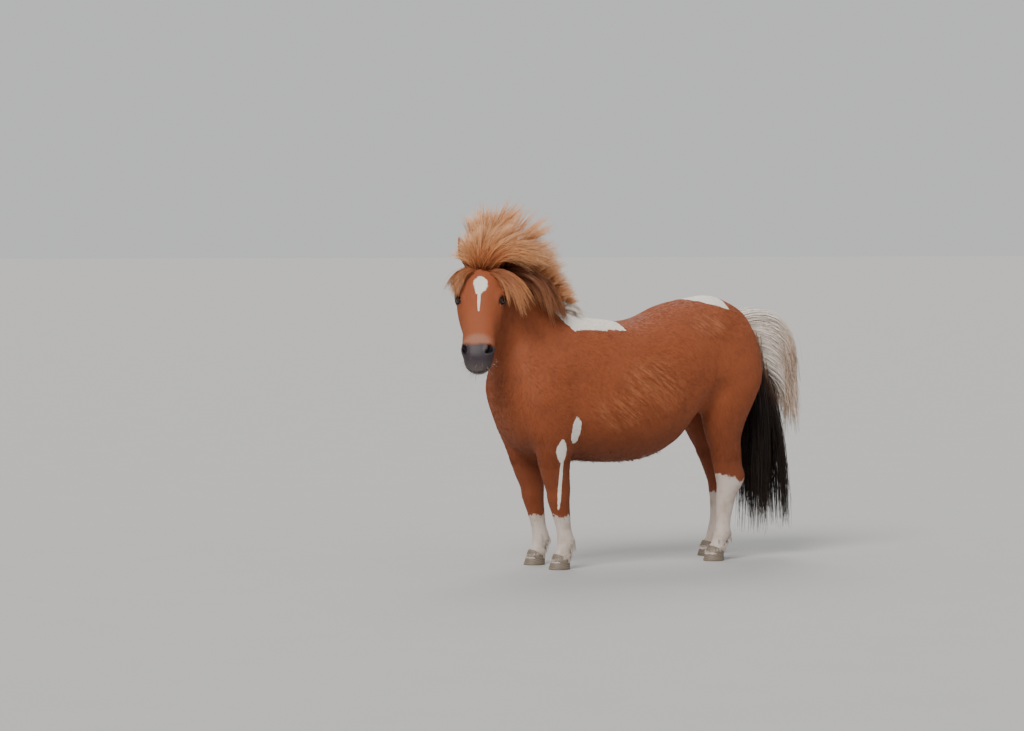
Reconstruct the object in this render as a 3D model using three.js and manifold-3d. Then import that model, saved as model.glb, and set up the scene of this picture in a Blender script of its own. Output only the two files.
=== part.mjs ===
// A Shetland pony at life size, standing, with its head turned to its left and the wind in its mane and
// tail. Millimetres, +Z up. It faces -Y and its left side is +X. The origin is on the ground, under the
// middle of its outline.
import * as THREE from 'three';
import { mergeVertices } from 'three/addons/utils/BufferGeometryUtils.js';
import Module from 'manifold-3d';

const wasm = await Module();
wasm.setup();
const { degToRad, clamp, lerp } = THREE.MathUtils;

// Driving dimensions
const withersHeight = 955;
const croupHeight = 1035;
const bellyHeight = 396;
const breastAt = -600;
const buttockAt = 556;
const foreLegAt = 100;
const hindLegAt = 94;
const hindStep = 88;
const headLength = 436;
const headTurn = degToRad(57);
const headPitch = degToRad(28);
const poll = new THREE.Vector3(60, -671, 1177);
const foreCut = 402;
const hindCut = 500;
const hoofHeight = 46;
const gap = 0.3;

// Where the neck leaves the trunk: a flat cut from the withers to the breast
const neckCutTop = new THREE.Vector3(0, -215, 985);
const neckCutFront = new THREE.Vector3(0, -615, 735);

const colours = {
  chestnut: 0xa4542c, cream: 0xe8ddcd, white: 0xefeae4, blond: 0xd9a06a, horn: 0x6f6152, eye: 0x17100d,
};

const X = new THREE.Vector3(1, 0, 0);
const Y = new THREE.Vector3(0, 1, 0);
const Z = new THREE.Vector3(0, 0, 1);

let seed = 7;
function random(low = 0, high = 1) {
  seed = (seed * 1664525 + 1013904223) % 4294967296;
  return low + ((high - low) * seed) / 4294967296;
}

// Smooth values between rows of numbers, by the first column
function between(rows, at) {
  const last = rows.length - 1;
  if (at <= rows[0][0]) return rows[0];
  if (at >= rows[last][0]) return rows[last];
  let i = 0;
  while (rows[i + 1][0] < at) i++;
  const a = rows[i];
  const b = rows[i + 1];
  const before = rows[Math.max(i - 1, 0)];
  const after = rows[Math.min(i + 2, last)];
  const span = b[0] - a[0];
  const t = (at - a[0]) / span;
  const t2 = t * t;
  const t3 = t2 * t;
  return a.map((value, c) => {
    const slopeA = ((b[c] - before[c]) / (b[0] - before[0])) * span;
    const slopeB = ((after[c] - value) / (after[0] - a[0])) * span;
    return (2 * t3 - 3 * t2 + 1) * value + (t3 - 2 * t2 + t) * slopeA
      + (3 * t2 - 2 * t3) * b[c] + (t3 - t2) * slopeB;
  });
}

// A rounded form along a straight line. A row is its place, side shift, rise, half-width, reach up and
// reach down, and the ends round off over startRound and endRound.
class Form {
  constructor({ origin = new THREE.Vector3(), along, side, up, rows, fullness = 2, startRound = 1, endRound = 1 }) {
    Object.assign(this, { origin, along, side, up, rows, fullness, startRound, endRound });
    this.start = rows[0][0];
    this.end = rows[rows.length - 1][0];
  }
  swell(at) {
    const a = clamp((at - this.start) / this.startRound, 0, 1);
    const b = clamp((this.end - at) / this.endRound, 0, 1);
    return Math.max(Math.sqrt(a * (2 - a)) * Math.sqrt(b * (2 - b)), 0.03);
  }
  centre(at) {
    const [, shift, rise] = between(this.rows, at);
    return this.point(at, shift, rise);
  }
  point(at, across, rise) {
    return this.origin.clone().addScaledVector(this.along, at)
      .addScaledVector(this.side, across).addScaledVector(this.up, rise);
  }
  // Roughly the distance to the surface, negative inside
  distance(p) {
    const x = p.x - this.origin.x;
    const y = p.y - this.origin.y;
    const z = p.z - this.origin.z;
    const at = x * this.along.x + y * this.along.y + z * this.along.z;
    const held = clamp(at, this.start + 0.02, this.end - 0.02);
    const [, shift, rise, width, up, down] = between(this.rows, held);
    const s = x * this.side.x + y * this.side.y + z * this.side.z - shift;
    const u = x * this.up.x + y * this.up.y + z * this.up.z - rise;
    const size = this.swell(held);
    const power = this.fullness;
    const wide = Math.abs(s / (width * size)) ** power;
    const tall = Math.abs(u / ((u > 0 ? up : down) * size)) ** power;
    const ratio = Math.max((wide + tall) ** (1 / power), 0.05);
    const across = (Math.hypot(s, u) + 1e-6) * (1 - 1 / ratio);
    return Math.abs(at - held) > 1 ? Math.hypot(Math.max(across, 0), at - held) : across;
  }
}

// Joins two distances with a fillet
function join(a, b, blend) {
  const h = Math.max(blend - Math.abs(a - b), 0) / blend;
  return Math.min(a, b) - h * h * blend * 0.25;
}

// A rounded lump in the head's or the body's own directions
function lump(frame, at, across, rise, sizes) {
  const centre = frame.point(at, across, rise);
  const [a, s, u] = sizes;
  const least = Math.min(a, s, u);
  return (p) => {
    const d = p.clone().sub(centre);
    return (Math.hypot(d.dot(frame.along) / a, d.dot(frame.side) / s, d.dot(frame.up) / u) - 1) * least;
  };
}

// Rows given by top, bottom, half-width and the height of the widest line
const upright = (rows) => rows.map(
  ([at, top, bottom, width, widest]) => [at, 0, widest, width, top - widest, widest - bottom],
);

const body = new Form({
  along: Y, side: X, up: Z, fullness: 2.2, startRound: 110, endRound: 90,
  rows: upright([
    [breastAt, 770, 610, 128, 690],
    [-540, 840, 520, 152, 680],
    [-470, 885, 450, 172, 670],
    [-390, 922, 420, 186, 650],
    [-300, 948, 408, 200, 640],
    [-220, withersHeight, 403, 214, 632],
    [-130, 948, bellyHeight, 232, 622],
    [-50, 940, bellyHeight, 244, 618],
    [40, 956, 406, 247, 625],
    [140, 998, 454, 238, 655],
    [215, 1017, 540, 226, 700],
    [290, 1029, 590, 212, 745],
    [350, croupHeight, 606, 200, 775],
    [430, 1010, 612, 180, 780],
    [500, 968, 626, 152, 785],
    [buttockAt, 930, 650, 128, 785],
  ]),
});

// Neck, from the shoulders into the back of the skull
const neckFrom = new THREE.Vector3(0, -400, 790);
const neckTo = new THREE.Vector3(12, -634, 1072);
const neckAlong = neckTo.clone().sub(neckFrom).normalize();
const neckSide = new THREE.Vector3().crossVectors(neckAlong, Z).normalize();
const neckUp = new THREE.Vector3().crossVectors(neckSide, neckAlong);
const neck = new Form({
  origin: neckFrom, along: neckAlong, side: neckSide, up: neckUp, fullness: 2.1, startRound: 60, endRound: 50,
  rows: [
    [-120, 0, 0, 150, 235, 230],
    [0, 0, 0, 128, 222, 224],
    [90, 4, 0, 102, 206, 182],
    [180, 6, 0, 84, 174, 142],
    [270, 2, 0, 74, 146, 112],
    [350, 0, 0, 66, 122, 86],
    [410, 0, 0, 58, 104, 60],
  ],
});

// Head, from the poll to the lips, with heights counted from the line of the forehead
const faceWay = new THREE.Vector3(Math.sin(headTurn), -Math.cos(headTurn), 0);
const headAlong = faceWay.clone().multiplyScalar(Math.sin(headPitch)).addScaledVector(Z, -Math.cos(headPitch));
const headUp = faceWay.clone().multiplyScalar(Math.cos(headPitch)).addScaledVector(Z, Math.sin(headPitch));
const headSide = new THREE.Vector3().crossVectors(Z, faceWay);
const headFrame = { origin: poll, along: headAlong, side: headSide, up: headUp };
const inHead = (along, across, rise) => headAlong.clone().multiplyScalar(along)
  .addScaledVector(headSide, across).addScaledVector(headUp, rise).normalize();
const skull = new Form({
  ...headFrame, fullness: 2.3, startRound: 50, endRound: 60,
  rows: upright([
    [-14, -20, -112, 60, -60],
    [35, -2, -158, 76, -62],
    [85, 5, -190, 86, -64],
    [130, 2, -198, 91, -68],
    [165, -6, -192, 92, -74],
    [205, -18, -176, 85, -84],
    [240, -32, -156, 75, -90],
    [280, -44, -132, 60, -88],
    [320, -52, -112, 42, -82],
  ]),
});
const nose = new Form({
  ...headFrame, fullness: 2.4, startRound: 60, endRound: 30,
  rows: upright([
    [50, -10, -80, 46, -40],
    [150, -2, -90, 52, -44],
    [220, -8, -94, 57, -50],
    [275, -11, -100, 61, -56],
    [325, -10, -104, 62, -58],
    [362, -10, -108, 60, -58],
    [394, -17, -108, 54, -62],
    [418, -32, -104, 46, -68],
    [headLength, -44, -98, 36, -70],
  ]),
});
const bothSides = (make) => [make(1), make(-1)];
const headLumps = [
  ...bothSides((side) => lump(nose, 138, side * 74, -38, [34, 27, 22])),
  ...bothSides((side) => lump(nose, 118, side * 54, -128, [66, 38, 62])),
  ...bothSides((side) => lump(nose, 360, side * 44, -32, [26, 18, 22])),
  lump(nose, 408, 0, -92, [26, 34, 20]),
];
function headShape(p) {
  let d = join(skull.distance(p), nose.distance(p), 24);
  for (const one of headLumps) d = join(d, one(p), 16);
  return d;
}

// Fore leg of the left side, upwards. A row is its height, place across, place along, half-width, reach
// forward and reach back.
const foreRows = [
  [20, foreLegAt, -354, 36, 44, 40],
  [hoofHeight, foreLegAt, -348, 31, 36, 34],
  [70, foreLegAt, -341, 27, 29, 29],
  [97, foreLegAt, -332, 31, 31, 37],
  [150, foreLegAt + 1, -340, 26, 29, 31],
  [209, foreLegAt + 2, -354, 30, 34, 38],
  [262, foreLegAt + 3, -362, 38, 45, 42],
  [300, foreLegAt + 4, -366, 39, 48, 48],
  [347, foreLegAt + 8, -378, 42, 56, 56],
  [400, foreLegAt + 14, -390, 46, 62, 66],
  [450, foreLegAt + 22, -402, 52, 66, 82],
  [540, foreLegAt + 34, -418, 58, 84, 108],
  [640, foreLegAt + 38, -420, 56, 100, 108],
  [740, foreLegAt + 24, -392, 50, 90, 90],
  [840, foreLegAt - 8, -340, 42, 66, 66],
];
const hindRows = [
  [20, hindLegAt, 336, 36, 44, 38],
  [hoofHeight, hindLegAt, 344, 31, 36, 33],
  [70, hindLegAt, 356, 27, 29, 29],
  [97, hindLegAt, 368, 31, 31, 37],
  [150, hindLegAt - 1, 377, 26, 30, 30],
  [217, hindLegAt - 1, 385, 30, 35, 37],
  [260, hindLegAt - 1, 393, 34, 42, 43],
  [290, hindLegAt, 400, 37, 48, 56],
  [325, hindLegAt + 1, 404, 37, 60, 67],
  [376, hindLegAt + 3, 394, 40, 64, 62],
  [430, hindLegAt + 7, 382, 48, 66, 66],
  [484, hindLegAt + 12, 368, 58, 74, 76],
  [550, hindLegAt + 20, 362, 68, 88, 98],
  [620, hindLegAt + 24, 372, 84, 108, 118],
  [700, hindLegAt + 20, 388, 98, 128, 136],
  [780, hindLegAt + 12, 390, 100, 132, 140],
  [860, hindLegAt - 2, 380, 84, 112, 128],
  [940, hindLegAt - 24, 370, 60, 84, 100],
];
// A foot set back takes the leg with it, less and less up to the hip
const hipHeight = 780;
const setBack = (rows, step) => rows.map(([height, across, place, ...reach]) => {
  const share = clamp((hipHeight - height) / (hipHeight - 200), 0, 1);
  return [height, across, place + step * share, ...reach];
});
function legForm(rows, side, step) {
  const placed = setBack(rows, step);
  return new Form({
    along: Z, side: X, up: Y.clone().negate(), fullness: 2.15, startRound: 4, endRound: 60,
    rows: placed.map(([height, across, place, ...reach]) => [height, side * across, -place, ...reach]),
  });
}
const legs = [
  { name: 'foreleg_left', hoof: 'hoof_front_left', form: legForm(foreRows, 1, 0), cut: foreCut },
  { name: 'foreleg_right', hoof: 'hoof_front_right', form: legForm(foreRows, -1, 0), cut: foreCut },
  { name: 'hindleg_left', hoof: 'hoof_hind_left', form: legForm(hindRows, 1, 0), cut: hindCut },
  { name: 'hindleg_right', hoof: 'hoof_hind_right', form: legForm(hindRows, -1, hindStep), cut: hindCut },
];

// The whole skin, as one distance
function trunkShape(p) {
  let d = body.distance(p);
  for (const { form } of legs) d = join(d, form.distance(p), 40);
  return join(d, neck.distance(p), 60);
}
const flesh = (p) => join(trunkShape(p), headShape(p), 44);

// Distance along a ray to the place where a shape ends
function reachOf(shape, from, way, most) {
  const p = new THREE.Vector3();
  const step = most / 60;
  let inside = 0;
  let outside = most;
  for (let r = step; r < most; r += step) {
    if (shape(p.copy(from).addScaledVector(way, r)) > 0) {
      outside = r;
      break;
    }
    inside = r;
  }
  for (let i = 0; i < 12; i++) {
    const middle = (inside + outside) / 2;
    if (shape(p.copy(from).addScaledVector(way, middle)) > 0) outside = middle;
    else inside = middle;
  }
  return (inside + outside) / 2;
}

// A closed skin over rings of as many points each
function ringSolid(rings) {
  const count = rings[0].length;
  const points = rings.flat();
  const faces = [];
  for (let i = 0; i + 1 < rings.length; i++) {
    for (let j = 0; j < count; j++) {
      const a = i * count + j;
      const b = i * count + ((j + 1) % count);
      faces.push([a, b, b + count], [a, b + count, a + count]);
    }
  }
  for (const i of [0, rings.length - 1]) {
    const middle = points.length;
    points.push(rings[i].reduce((sum, p) => sum.add(p), new THREE.Vector3()).divideScalar(count));
    for (let j = 0; j < count; j++) {
      const a = i * count + j;
      const b = i * count + ((j + 1) % count);
      faces.push(i ? [a, b, middle] : [b, a, middle]);
    }
  }
  return closedSolid(points, faces);
}
function closedSolid(points, faces) {
  const volume = faces.reduce((sum, [a, b, c]) => {
    return sum + points[a].dot(new THREE.Vector3().crossVectors(points[b], points[c]));
  }, 0);
  const facing = volume < 0 ? faces.map(([a, b, c]) => [b, a, c]) : faces;
  return new wasm.Manifold(new wasm.Mesh({
    numProp: 3,
    vertProperties: new Float32Array(points.flatMap((p) => p.toArray())),
    triVerts: new Uint32Array(facing.flat()),
  }));
}
function solidOf(geometry) {
  const bare = geometry.clone();
  bare.deleteAttribute('normal');
  bare.deleteAttribute('uv');
  const merged = mergeVertices(bare, 1e-3);
  return new wasm.Manifold(new wasm.Mesh({
    numProp: 3,
    vertProperties: merged.attributes.position.array,
    triVerts: new Uint32Array(merged.index.array),
  }));
}
function block([x0, x1, y0, y1, z0, z1]) {
  const geometry = new THREE.BoxGeometry(x1 - x0, y1 - y0, z1 - z0);
  return solidOf(geometry.translate((x0 + x1) / 2, (y0 + y1) / 2, (z0 + z1) / 2));
}
// An ellipsoid with its axes along three given directions
function egg(centre, directions, sizes, across = 12, down = 8) {
  const [a, b, c] = directions.map((way, i) => way.clone().multiplyScalar(sizes[i]));
  const place = new THREE.Matrix4().makeBasis(a, b, c).setPosition(centre);
  return solidOf(new THREE.SphereGeometry(1, across, down).applyMatrix4(place));
}

const joined = (solids) => wasm.Manifold.union(solids);
const places = (from, to, count) => Array.from({ length: count + 1 }, (_, i) => lerp(from, to, i / count));
function sampled(form, shape, at, segments, most, turned = 0.5) {
  return ringSolid(at.map((place) => {
    const centre = form.centre(place);
    return Array.from({ length: segments }, (_, j) => {
      const angle = (2 * Math.PI * (j + turned)) / segments;
      const way = form.side.clone().multiplyScalar(Math.cos(angle)).addScaledVector(form.up, Math.sin(angle));
      return centre.clone().addScaledVector(way, reachOf(shape, centre, way, most));
    });
  }));
}

const pony = new THREE.Group();
function add(name, solid, colour, roughness = 0.75) {
  const largest = solid.decompose().sort((a, b) => b.volume() - a.volume())[0];
  const { vertProperties, triVerts } = largest.getMesh();
  const geometry = new THREE.BufferGeometry()
    .setAttribute('position', new THREE.BufferAttribute(new Float32Array(vertProperties), 3))
    .setIndex(new THREE.BufferAttribute(triVerts, 1));
  geometry.computeVertexNormals();
  const mesh = new THREE.Mesh(geometry, new THREE.MeshStandardMaterial({ color: colour, roughness }));
  mesh.name = name;
  pony.add(mesh);
}

// The cut between trunk and neck
const neckCutWay = new THREE.Vector3().crossVectors(X, neckCutFront.clone().sub(neckCutTop)).normalize();
if (neckCutWay.z < 0) neckCutWay.negate();
const neckCutAt = neckCutWay.dot(neckCutTop);
const overNeckCut = (p) => neckCutWay.dot(p) - neckCutAt;

// Blocks that hold what is leg below each pair's cut
const foreBlock = [-400, 400, -700, -226, -50, foreCut];
const hindBlock = [-400, 400, 216, 800, -50, hindCut];
const inBlock = ([, , y0, y1, , top], p) => Math.min(p.y - y0, y1 - p.y, top - p.z);

// Trunk, neck and legs are each sampled a little past their cuts, joined whole, and parted again there
const spare = 60;
function makeTorso(extra = 0) {
  const pastLegs = (p) => Math.max(inBlock(foreBlock, p), inBlock(hindBlock, p)) - spare;
  const shape = (p) => Math.max(trunkShape(p) - extra, overNeckCut(p) - spare, pastLegs(p));
  const at = [-597, -590, -574, ...places(-550, 440, 22), 472, 500, 526, 545, 553];
  return sampled(body, shape, at, 26, 460);
}
const headPlaces = [-12, -3, 12, ...places(34, 384, 13), 402, 418, 429, 435];
const makeHead = (extra = 0) => sampled(nose, (p) => headShape(p) - extra, headPlaces, 20, 260);
const neckReach = 26;
function makeNeck(extra = 0) {
  const shape = (p) => Math.max(flesh(p), neck.distance(p) - neckReach) - extra;
  return sampled(neck, shape, [...places(-30, 250, 7), ...places(280, 372, 4)], 22, 420);
}
function makeLeg({ form, cut }) {
  const heights = form.rows.map((row) => row[0]).filter((height) => height > hoofHeight && height < cut - 30);
  const shape = (p) => Math.max(trunkShape(p), p.z - cut - 20);
  return sampled(form, shape, [34, ...heights, cut - 24, cut + 12], 14, 240);
}
function addTrunk() {
  const whole = joined([makeTorso(), makeNeck(), ...legs.map(makeLeg)]);
  const legRoom = [foreBlock, hindBlock].map(block);
  const down = neckCutWay.clone().negate().toArray();
  add('torso', whole.subtract(joined(legRoom)).trimByPlane(down, gap - neckCutAt), colours.chestnut);
  add('neck', whole.trimByPlane(neckCutWay.toArray(), neckCutAt).subtract(makeHead(gap)), colours.chestnut);
  legs.forEach(({ name, hoof, form, cut }) => {
    const side = form.rows[0][1] > 0 ? 1 : -1;
    const room = legRoom[cut === foreCut ? 0 : 1];
    const footAt = -form.rows[1][2];
    const coronetAt = coronetWay.dot(new THREE.Vector3(0, footAt, hoofHeight));
    const limb = whole.intersect(room).trimByPlane([side, 0, 0], gap).trimByPlane([0, 0, -1], gap - cut);
    const below = coronetWay.clone().negate().toArray();
    add(name, limb.trimByPlane(coronetWay.toArray(), coronetAt), colours.cream);
    add(hoof, makeHoof(form, footAt).trimByPlane(below, gap - coronetAt), colours.horn, 0.5);
  });
}
// The coronet, where the hoof starts, slants down to the heel
const coronetWay = new THREE.Vector3(0, 0.32, 1).normalize();
function makeHoof(form, footAt) {
  const [, across, , width, front, back] = form.rows[1];
  return ringSolid([0, 12, hoofHeight + 22].map((height) => {
    const flare = 1.25 - 0.25 * (height / hoofHeight);
    const lean = (hoofHeight - height) * 0.2;
    return Array.from({ length: 16 }, (_, j) => {
      const angle = (2 * Math.PI * j) / 16;
      const reach = Math.sin(angle) > 0 ? front * flare : back * (flare - 0.06);
      const wide = width * flare * Math.cos(angle);
      return new THREE.Vector3(across + wide, footAt - lean - reach * Math.sin(angle), height);
    });
  }));
}

// Eyes, lids, nostrils and the line of the mouth
const eyeRadius = 18.5;
const eyeAlong = 150;
const eyeWay = (side) => inHead(0.12, side * 0.84, 0.52);
const eyeAt = (side) => nose.point(eyeAlong, side * 74, -46);
function eyeAxes(side) {
  const out = eyeWay(side);
  const long = headAlong.clone().addScaledVector(headUp, 0.25);
  long.addScaledVector(out, -long.dot(out)).normalize();
  return [long, new THREE.Vector3().crossVectors(out, long), out];
}
const nostrilAlong = 364;
const mouthThick = 3.2;
function nostrilHole(side) {
  const slant = headAlong.clone().addScaledVector(headSide, -side * 0.35).normalize();
  const inward = headSide.clone().multiplyScalar(side * 0.7).addScaledVector(headUp, 0.7);
  inward.addScaledVector(slant, -inward.dot(slant)).normalize();
  const axes = [slant, new THREE.Vector3().crossVectors(inward, slant), inward];
  return egg(nose.point(nostrilAlong, side * 47, -20), axes, [17, 9, 17], 10, 6);
}
// The line between the lips: a thin curved slot round a core that keeps the jaws in one piece
function mouthLine() {
  const core = sampled(nose, (p) => headShape(p) + 7, headPlaces.slice(10, -1), 14, 260);
  const along = headAlong.clone().addScaledVector(headUp, 0.05).normalize();
  const axes = [along, headSide, new THREE.Vector3().crossVectors(along, headSide)];
  return egg(nose.point(424, 0, -69), axes, [56, 70, mouthThick], 14, 4).subtract(core);
}
function addHead() {
  let head = makeHead();
  for (const side of [1, -1]) {
    const at = eyeAt(side);
    const axes = eyeAxes(side);
    const lids = egg(at, axes, [26, 23, eyeRadius + 4]);
    const opening = egg(at.clone().addScaledVector(eyeWay(side), eyeRadius), axes, [17, 10, 12], 10, 6);
    const room = egg(at, axes, Array(3).fill(eyeRadius + gap));
    head = head.add(lids).subtract(opening).subtract(room).subtract(nostrilHole(side));
    add(side > 0 ? 'eye_left' : 'eye_right', egg(at, axes, Array(3).fill(eyeRadius)), colours.eye, 0.15);
  }
  add('head', head.subtract(mouthLine()), colours.chestnut);
}

// Ears: a leaf of half-tubes, cut out in front
const earLength = 122;
function earSolid(side, extra, hollow) {
  const base = nose.point(12, side * 47, -34);
  const way = inHead(-0.72, side * 0.27, 0.6);
  const front = headUp.clone().addScaledVector(headSide, side * 0.45);
  front.addScaledVector(way, -front.dot(way)).normalize();
  const across = new THREE.Vector3().crossVectors(way, front);
  const sizes = [
    [-12, 17, 16], [15, 20, 18], [45, 24, 18], [75, 21, 15], [100, 12.5, 10], [117, 4.5, 5], [earLength, 1.2, 2],
  ];
  const rows = sizes.map(([at, wide, deep]) => {
    return [at, 0, at * at * 0.0009, wide + extra, deep + extra, deep * 0.8 + extra];
  });
  const form = new Form({ origin: base, along: way, side: across, up: front, rows });
  const ring = (at, grow, shift) => {
    const [, , rise, wide, up, down] = between(form.rows, at);
    return Array.from({ length: 10 }, (_, j) => {
      const angle = (2 * Math.PI * j) / 10;
      const tall = Math.sin(angle) > 0 ? up : down;
      return form.point(at, (wide - grow) * Math.cos(angle), rise + shift + (tall - grow) * Math.sin(angle));
    });
  };
  const outer = ringSolid([-12, 15, 45, 75, 98, 112, earLength].map((at) => ring(at, 0, 0)));
  if (!hollow) return outer;
  const cup = ringSolid([14, 30, 55, 80, 100, 112].map((at) => ring(at, clamp((114 - at) * 0.3, 0.5, 4), 9)));
  return outer.subtract(cup);
}
function addEars() {
  const headRoom = makeHead(gap);
  const neckRoom = makeNeck(gap);
  for (const side of [1, -1]) {
    const ear = earSolid(side, 0, true).subtract(headRoom).subtract(neckRoom);
    add(side > 0 ? 'ear_left' : 'ear_right', ear, colours.chestnut);
  }
}

// A point that lies inside the skin, or closer to it than clear, is moved out
const nudge = 2;
function outward(p) {
  const slope = [X, Y, Z].map((way) => {
    return flesh(p.clone().addScaledVector(way, nudge)) - flesh(p.clone().addScaledVector(way, -nudge));
  });
  return new THREE.Vector3(...slope).normalize();
}
function liftedClear(p, clear) {
  for (let i = 0; i < 4; i++) {
    const short = clear - flesh(p);
    if (short <= 0.5) break;
    p.addScaledVector(outward(p), short);
  }
  return p;
}

// One flat, tapered lock. It leaves root along first, turns to last, and its flat side faces the way given.
const lockRings = 6;
const rootDepth = 16;
function lock({ root, first, last, length, width, thick, facing, clear = 5, sag = 0 }) {
  const spine = [];
  const at = root.clone().addScaledVector(outward(root), -rootDepth);
  const step = (length + rootDepth) / (lockRings - 1);
  for (let i = 0; i < lockRings; i++) {
    const share = i / (lockRings - 1);
    if (i > 1) liftedClear(at, clear + thick * 0.5);
    spine.push(at.clone());
    const way = first.clone().lerp(last, Math.min(share * 1.5, 1)).normalize();
    way.z -= sag * share;
    at.addScaledVector(way.normalize(), step);
  }
  const rings = spine.map((point, i) => {
    const share = i / (lockRings - 1);
    const way = spine[Math.min(i + 1, lockRings - 1)].clone().sub(spine[Math.max(i - 1, 0)]).normalize();
    const across = new THREE.Vector3().crossVectors(way, facing).normalize();
    const out = new THREE.Vector3().crossVectors(across, way);
    const size = Math.sin(Math.PI * lerp(0.22, 1, share) ** 1.4) ** 0.7 + 0.02;
    const wide = (width / 2) * size;
    const deep = (thick / 2) * size + 0.25;
    return [[wide, 0], [0, deep], [-wide, 0], [0, -deep]]
      .map(([a, o]) => point.clone().addScaledVector(across, a).addScaledVector(out, o));
  });
  return ringSolid(rings);
}

// The line along the top of the neck that the mane grows from: 0 at the poll, 1 at the withers
const maneFrom = 392;
const maneTo = 84;
function crest(share) {
  const at = lerp(maneFrom, maneTo, share);
  const centre = neck.centre(at);
  return centre.addScaledVector(neckUp, reachOf(flesh, centre, neckUp, 420));
}
// The wind comes over the pony's right shoulder. Hair rises at a slope from upright and leans across it.
const downWind = new THREE.Vector3(0.47, 0.88, 0);
const acrossWind = new THREE.Vector3(0.88, -0.47, 0);
const blown = (degrees, lean) => Z.clone().multiplyScalar(Math.cos(degToRad(degrees)))
  .addScaledVector(downWind, Math.sin(degToRad(degrees))).addScaledVector(acrossWind, lean).normalize();
const towards = (x, y, z) => new THREE.Vector3(x, y, z).normalize();
const mixed = (a, b, share) => a.clone().lerp(b, share).normalize();

function clearOfBody(solid) {
  return solid.subtract(makeTorso(gap)).subtract(makeNeck(gap)).subtract(makeHead(gap))
    .subtract(earSolid(1, gap, false)).subtract(earSolid(-1, gap, false));
}

// The room of the forelock: before a slanted plane through the poll, and under the hair that stands up
const forelockBack = -45;
const forelockTop = 1216;
function forelockRoom(extra) {
  const way = headUp.clone().addScaledVector(headAlong, 0.25).normalize();
  const back = way.dot(nose.point(0, 0, forelockBack));
  return block([-500, 700, -1300, 0, 600, forelockTop + extra]).trimByPlane(way.toArray(), back - extra);
}
// The room of the white tuft that ends the mane: behind and under a slanted plane on the withers
const tuftFrom = new THREE.Vector3(0, -330, 1000);
const tuftSlope = 0.3;
function tuftRoom(extra) {
  const room = new THREE.BoxGeometry(600, 500, 400).translate(0, 250 - extra, extra - 200);
  return solidOf(room.rotateX(tuftSlope).translate(...tuftFrom.toArray()));
}

const maneEnd = 1;
function crestLocks(rows, width) {
  const locks = [];
  for (let i = 0; i < rows; i++) {
    const share = (i / (rows - 1)) * maneEnd;
    for (const lean of [-1.3, 0, 1.3]) {
      const root = liftedClear(crest(share).addScaledVector(X, lean * 15 + random(-4, 4)), 0);
      const slope = lerp(40, 74, share ** 0.6) + random(-16, 12) - lean * 4;
      const last = blown(slope, lean * 0.16 + random(-0.12, 0.12));
      const length = lerp(305, 78, share ** 0.8) * random(0.84, 1.08);
      locks.push(lock({
        root, last, length, first: mixed(blown(10, lean * 0.3), last, 0.25),
        width: width * random(0.85, 1.2) * lerp(1.1, 0.7, share), thick: width * 0.32,
        facing: acrossWind, sag: 0.12 + 0.05 * Math.abs(lean),
      }));
    }
  }
  return locks;
}
// Hair of the poll, which stands up and fans out
function pollLocks(count, width) {
  return Array.from({ length: count }, (_, i) => {
    const share = (i + 0.5) / count;
    const slope = lerp(-22, 58, share) + random(-4, 4);
    const root = liftedClear(nose.point(-12, random(-26, 26), random(-84, -62)), 0);
    const last = blown(slope, random(-0.22, 0.12));
    const length = lerp(178, 272, share) * random(0.86, 1.06);
    return lock({
      root, last, length, first: blown(slope * 0.35, 0), width: width * random(0.9, 1.25), thick: width * 0.32,
      facing: acrossWind, sag: 0.04,
    });
  });
}
// Hair that hangs on one side of the neck
function hangingLocks(count, side, width) {
  return Array.from({ length: count }, (_, i) => {
    const share = lerp(0.02, 0.62, i / Math.max(count - 1, 1));
    const root = liftedClear(crest(share).addScaledVector(X, side * 34), 0);
    const length = lerp(290, 130, share) * random(0.82, 1.1) * (side > 0 ? 1 : 0.8);
    return lock({
      root, length, first: towards(side * 0.9, 0.4, 0.3), last: towards(side * 0.12, 0.34, -1),
      width: width * random(0.8, 1.1), thick: width * 0.26, facing: X, clear: 3,
    });
  });
}
function addMane({ rows, standing, hanging, width }) {
  const spine = [nose.point(-4, 0, -40), nose.point(-16, 0, -78), ...places(0.04, maneEnd, 7).map(crest)];
  const core = ringSolid(spine.map((centre, i) => {
    const size = 1 - 0.6 * (i / (spine.length - 1));
    return Array.from({ length: 8 }, (_, j) => {
      const angle = (2 * Math.PI * j) / 8;
      const lift = (Math.sin(angle) > 0 ? 66 * size : 30) * (i ? 1 : 0.4) * Math.sin(angle);
      return centre.clone().addScaledVector(X, 46 * size * Math.cos(angle)).addScaledVector(neckUp, lift);
    });
  }));
  const locks = [
    ...crestLocks(rows, width), ...pollLocks(standing, width),
    ...hangingLocks(hanging, 1, width), ...hangingLocks(Math.round(hanging * 0.7), -1, width),
  ];
  const hair = clearOfBody(joined([core, ...locks])).subtract(tuftRoom(gap)).subtract(forelockRoom(gap));
  add('mane', hair, colours.blond, 0.9);
}

function addManeTuft({ count, width }) {
  const locks = Array.from({ length: count }, (_, i) => {
    const share = i / Math.max(count - 1, 1);
    const root = liftedClear(new THREE.Vector3(random(-26, 26), lerp(-326, -262, share), 1000), 0);
    const length = random(66, 96);
    return lock({
      root, length, first: towards(random(-0.3, 0.5), 0.55, 0.6), last: towards(0.3, 0.9, -0.4),
      width: width * random(0.8, 1.2), thick: width * 0.36, facing: Z,
    });
  });
  add('mane_tuft', clearOfBody(joined(locks)).intersect(tuftRoom(0)), colours.white, 0.9);
}

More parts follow.
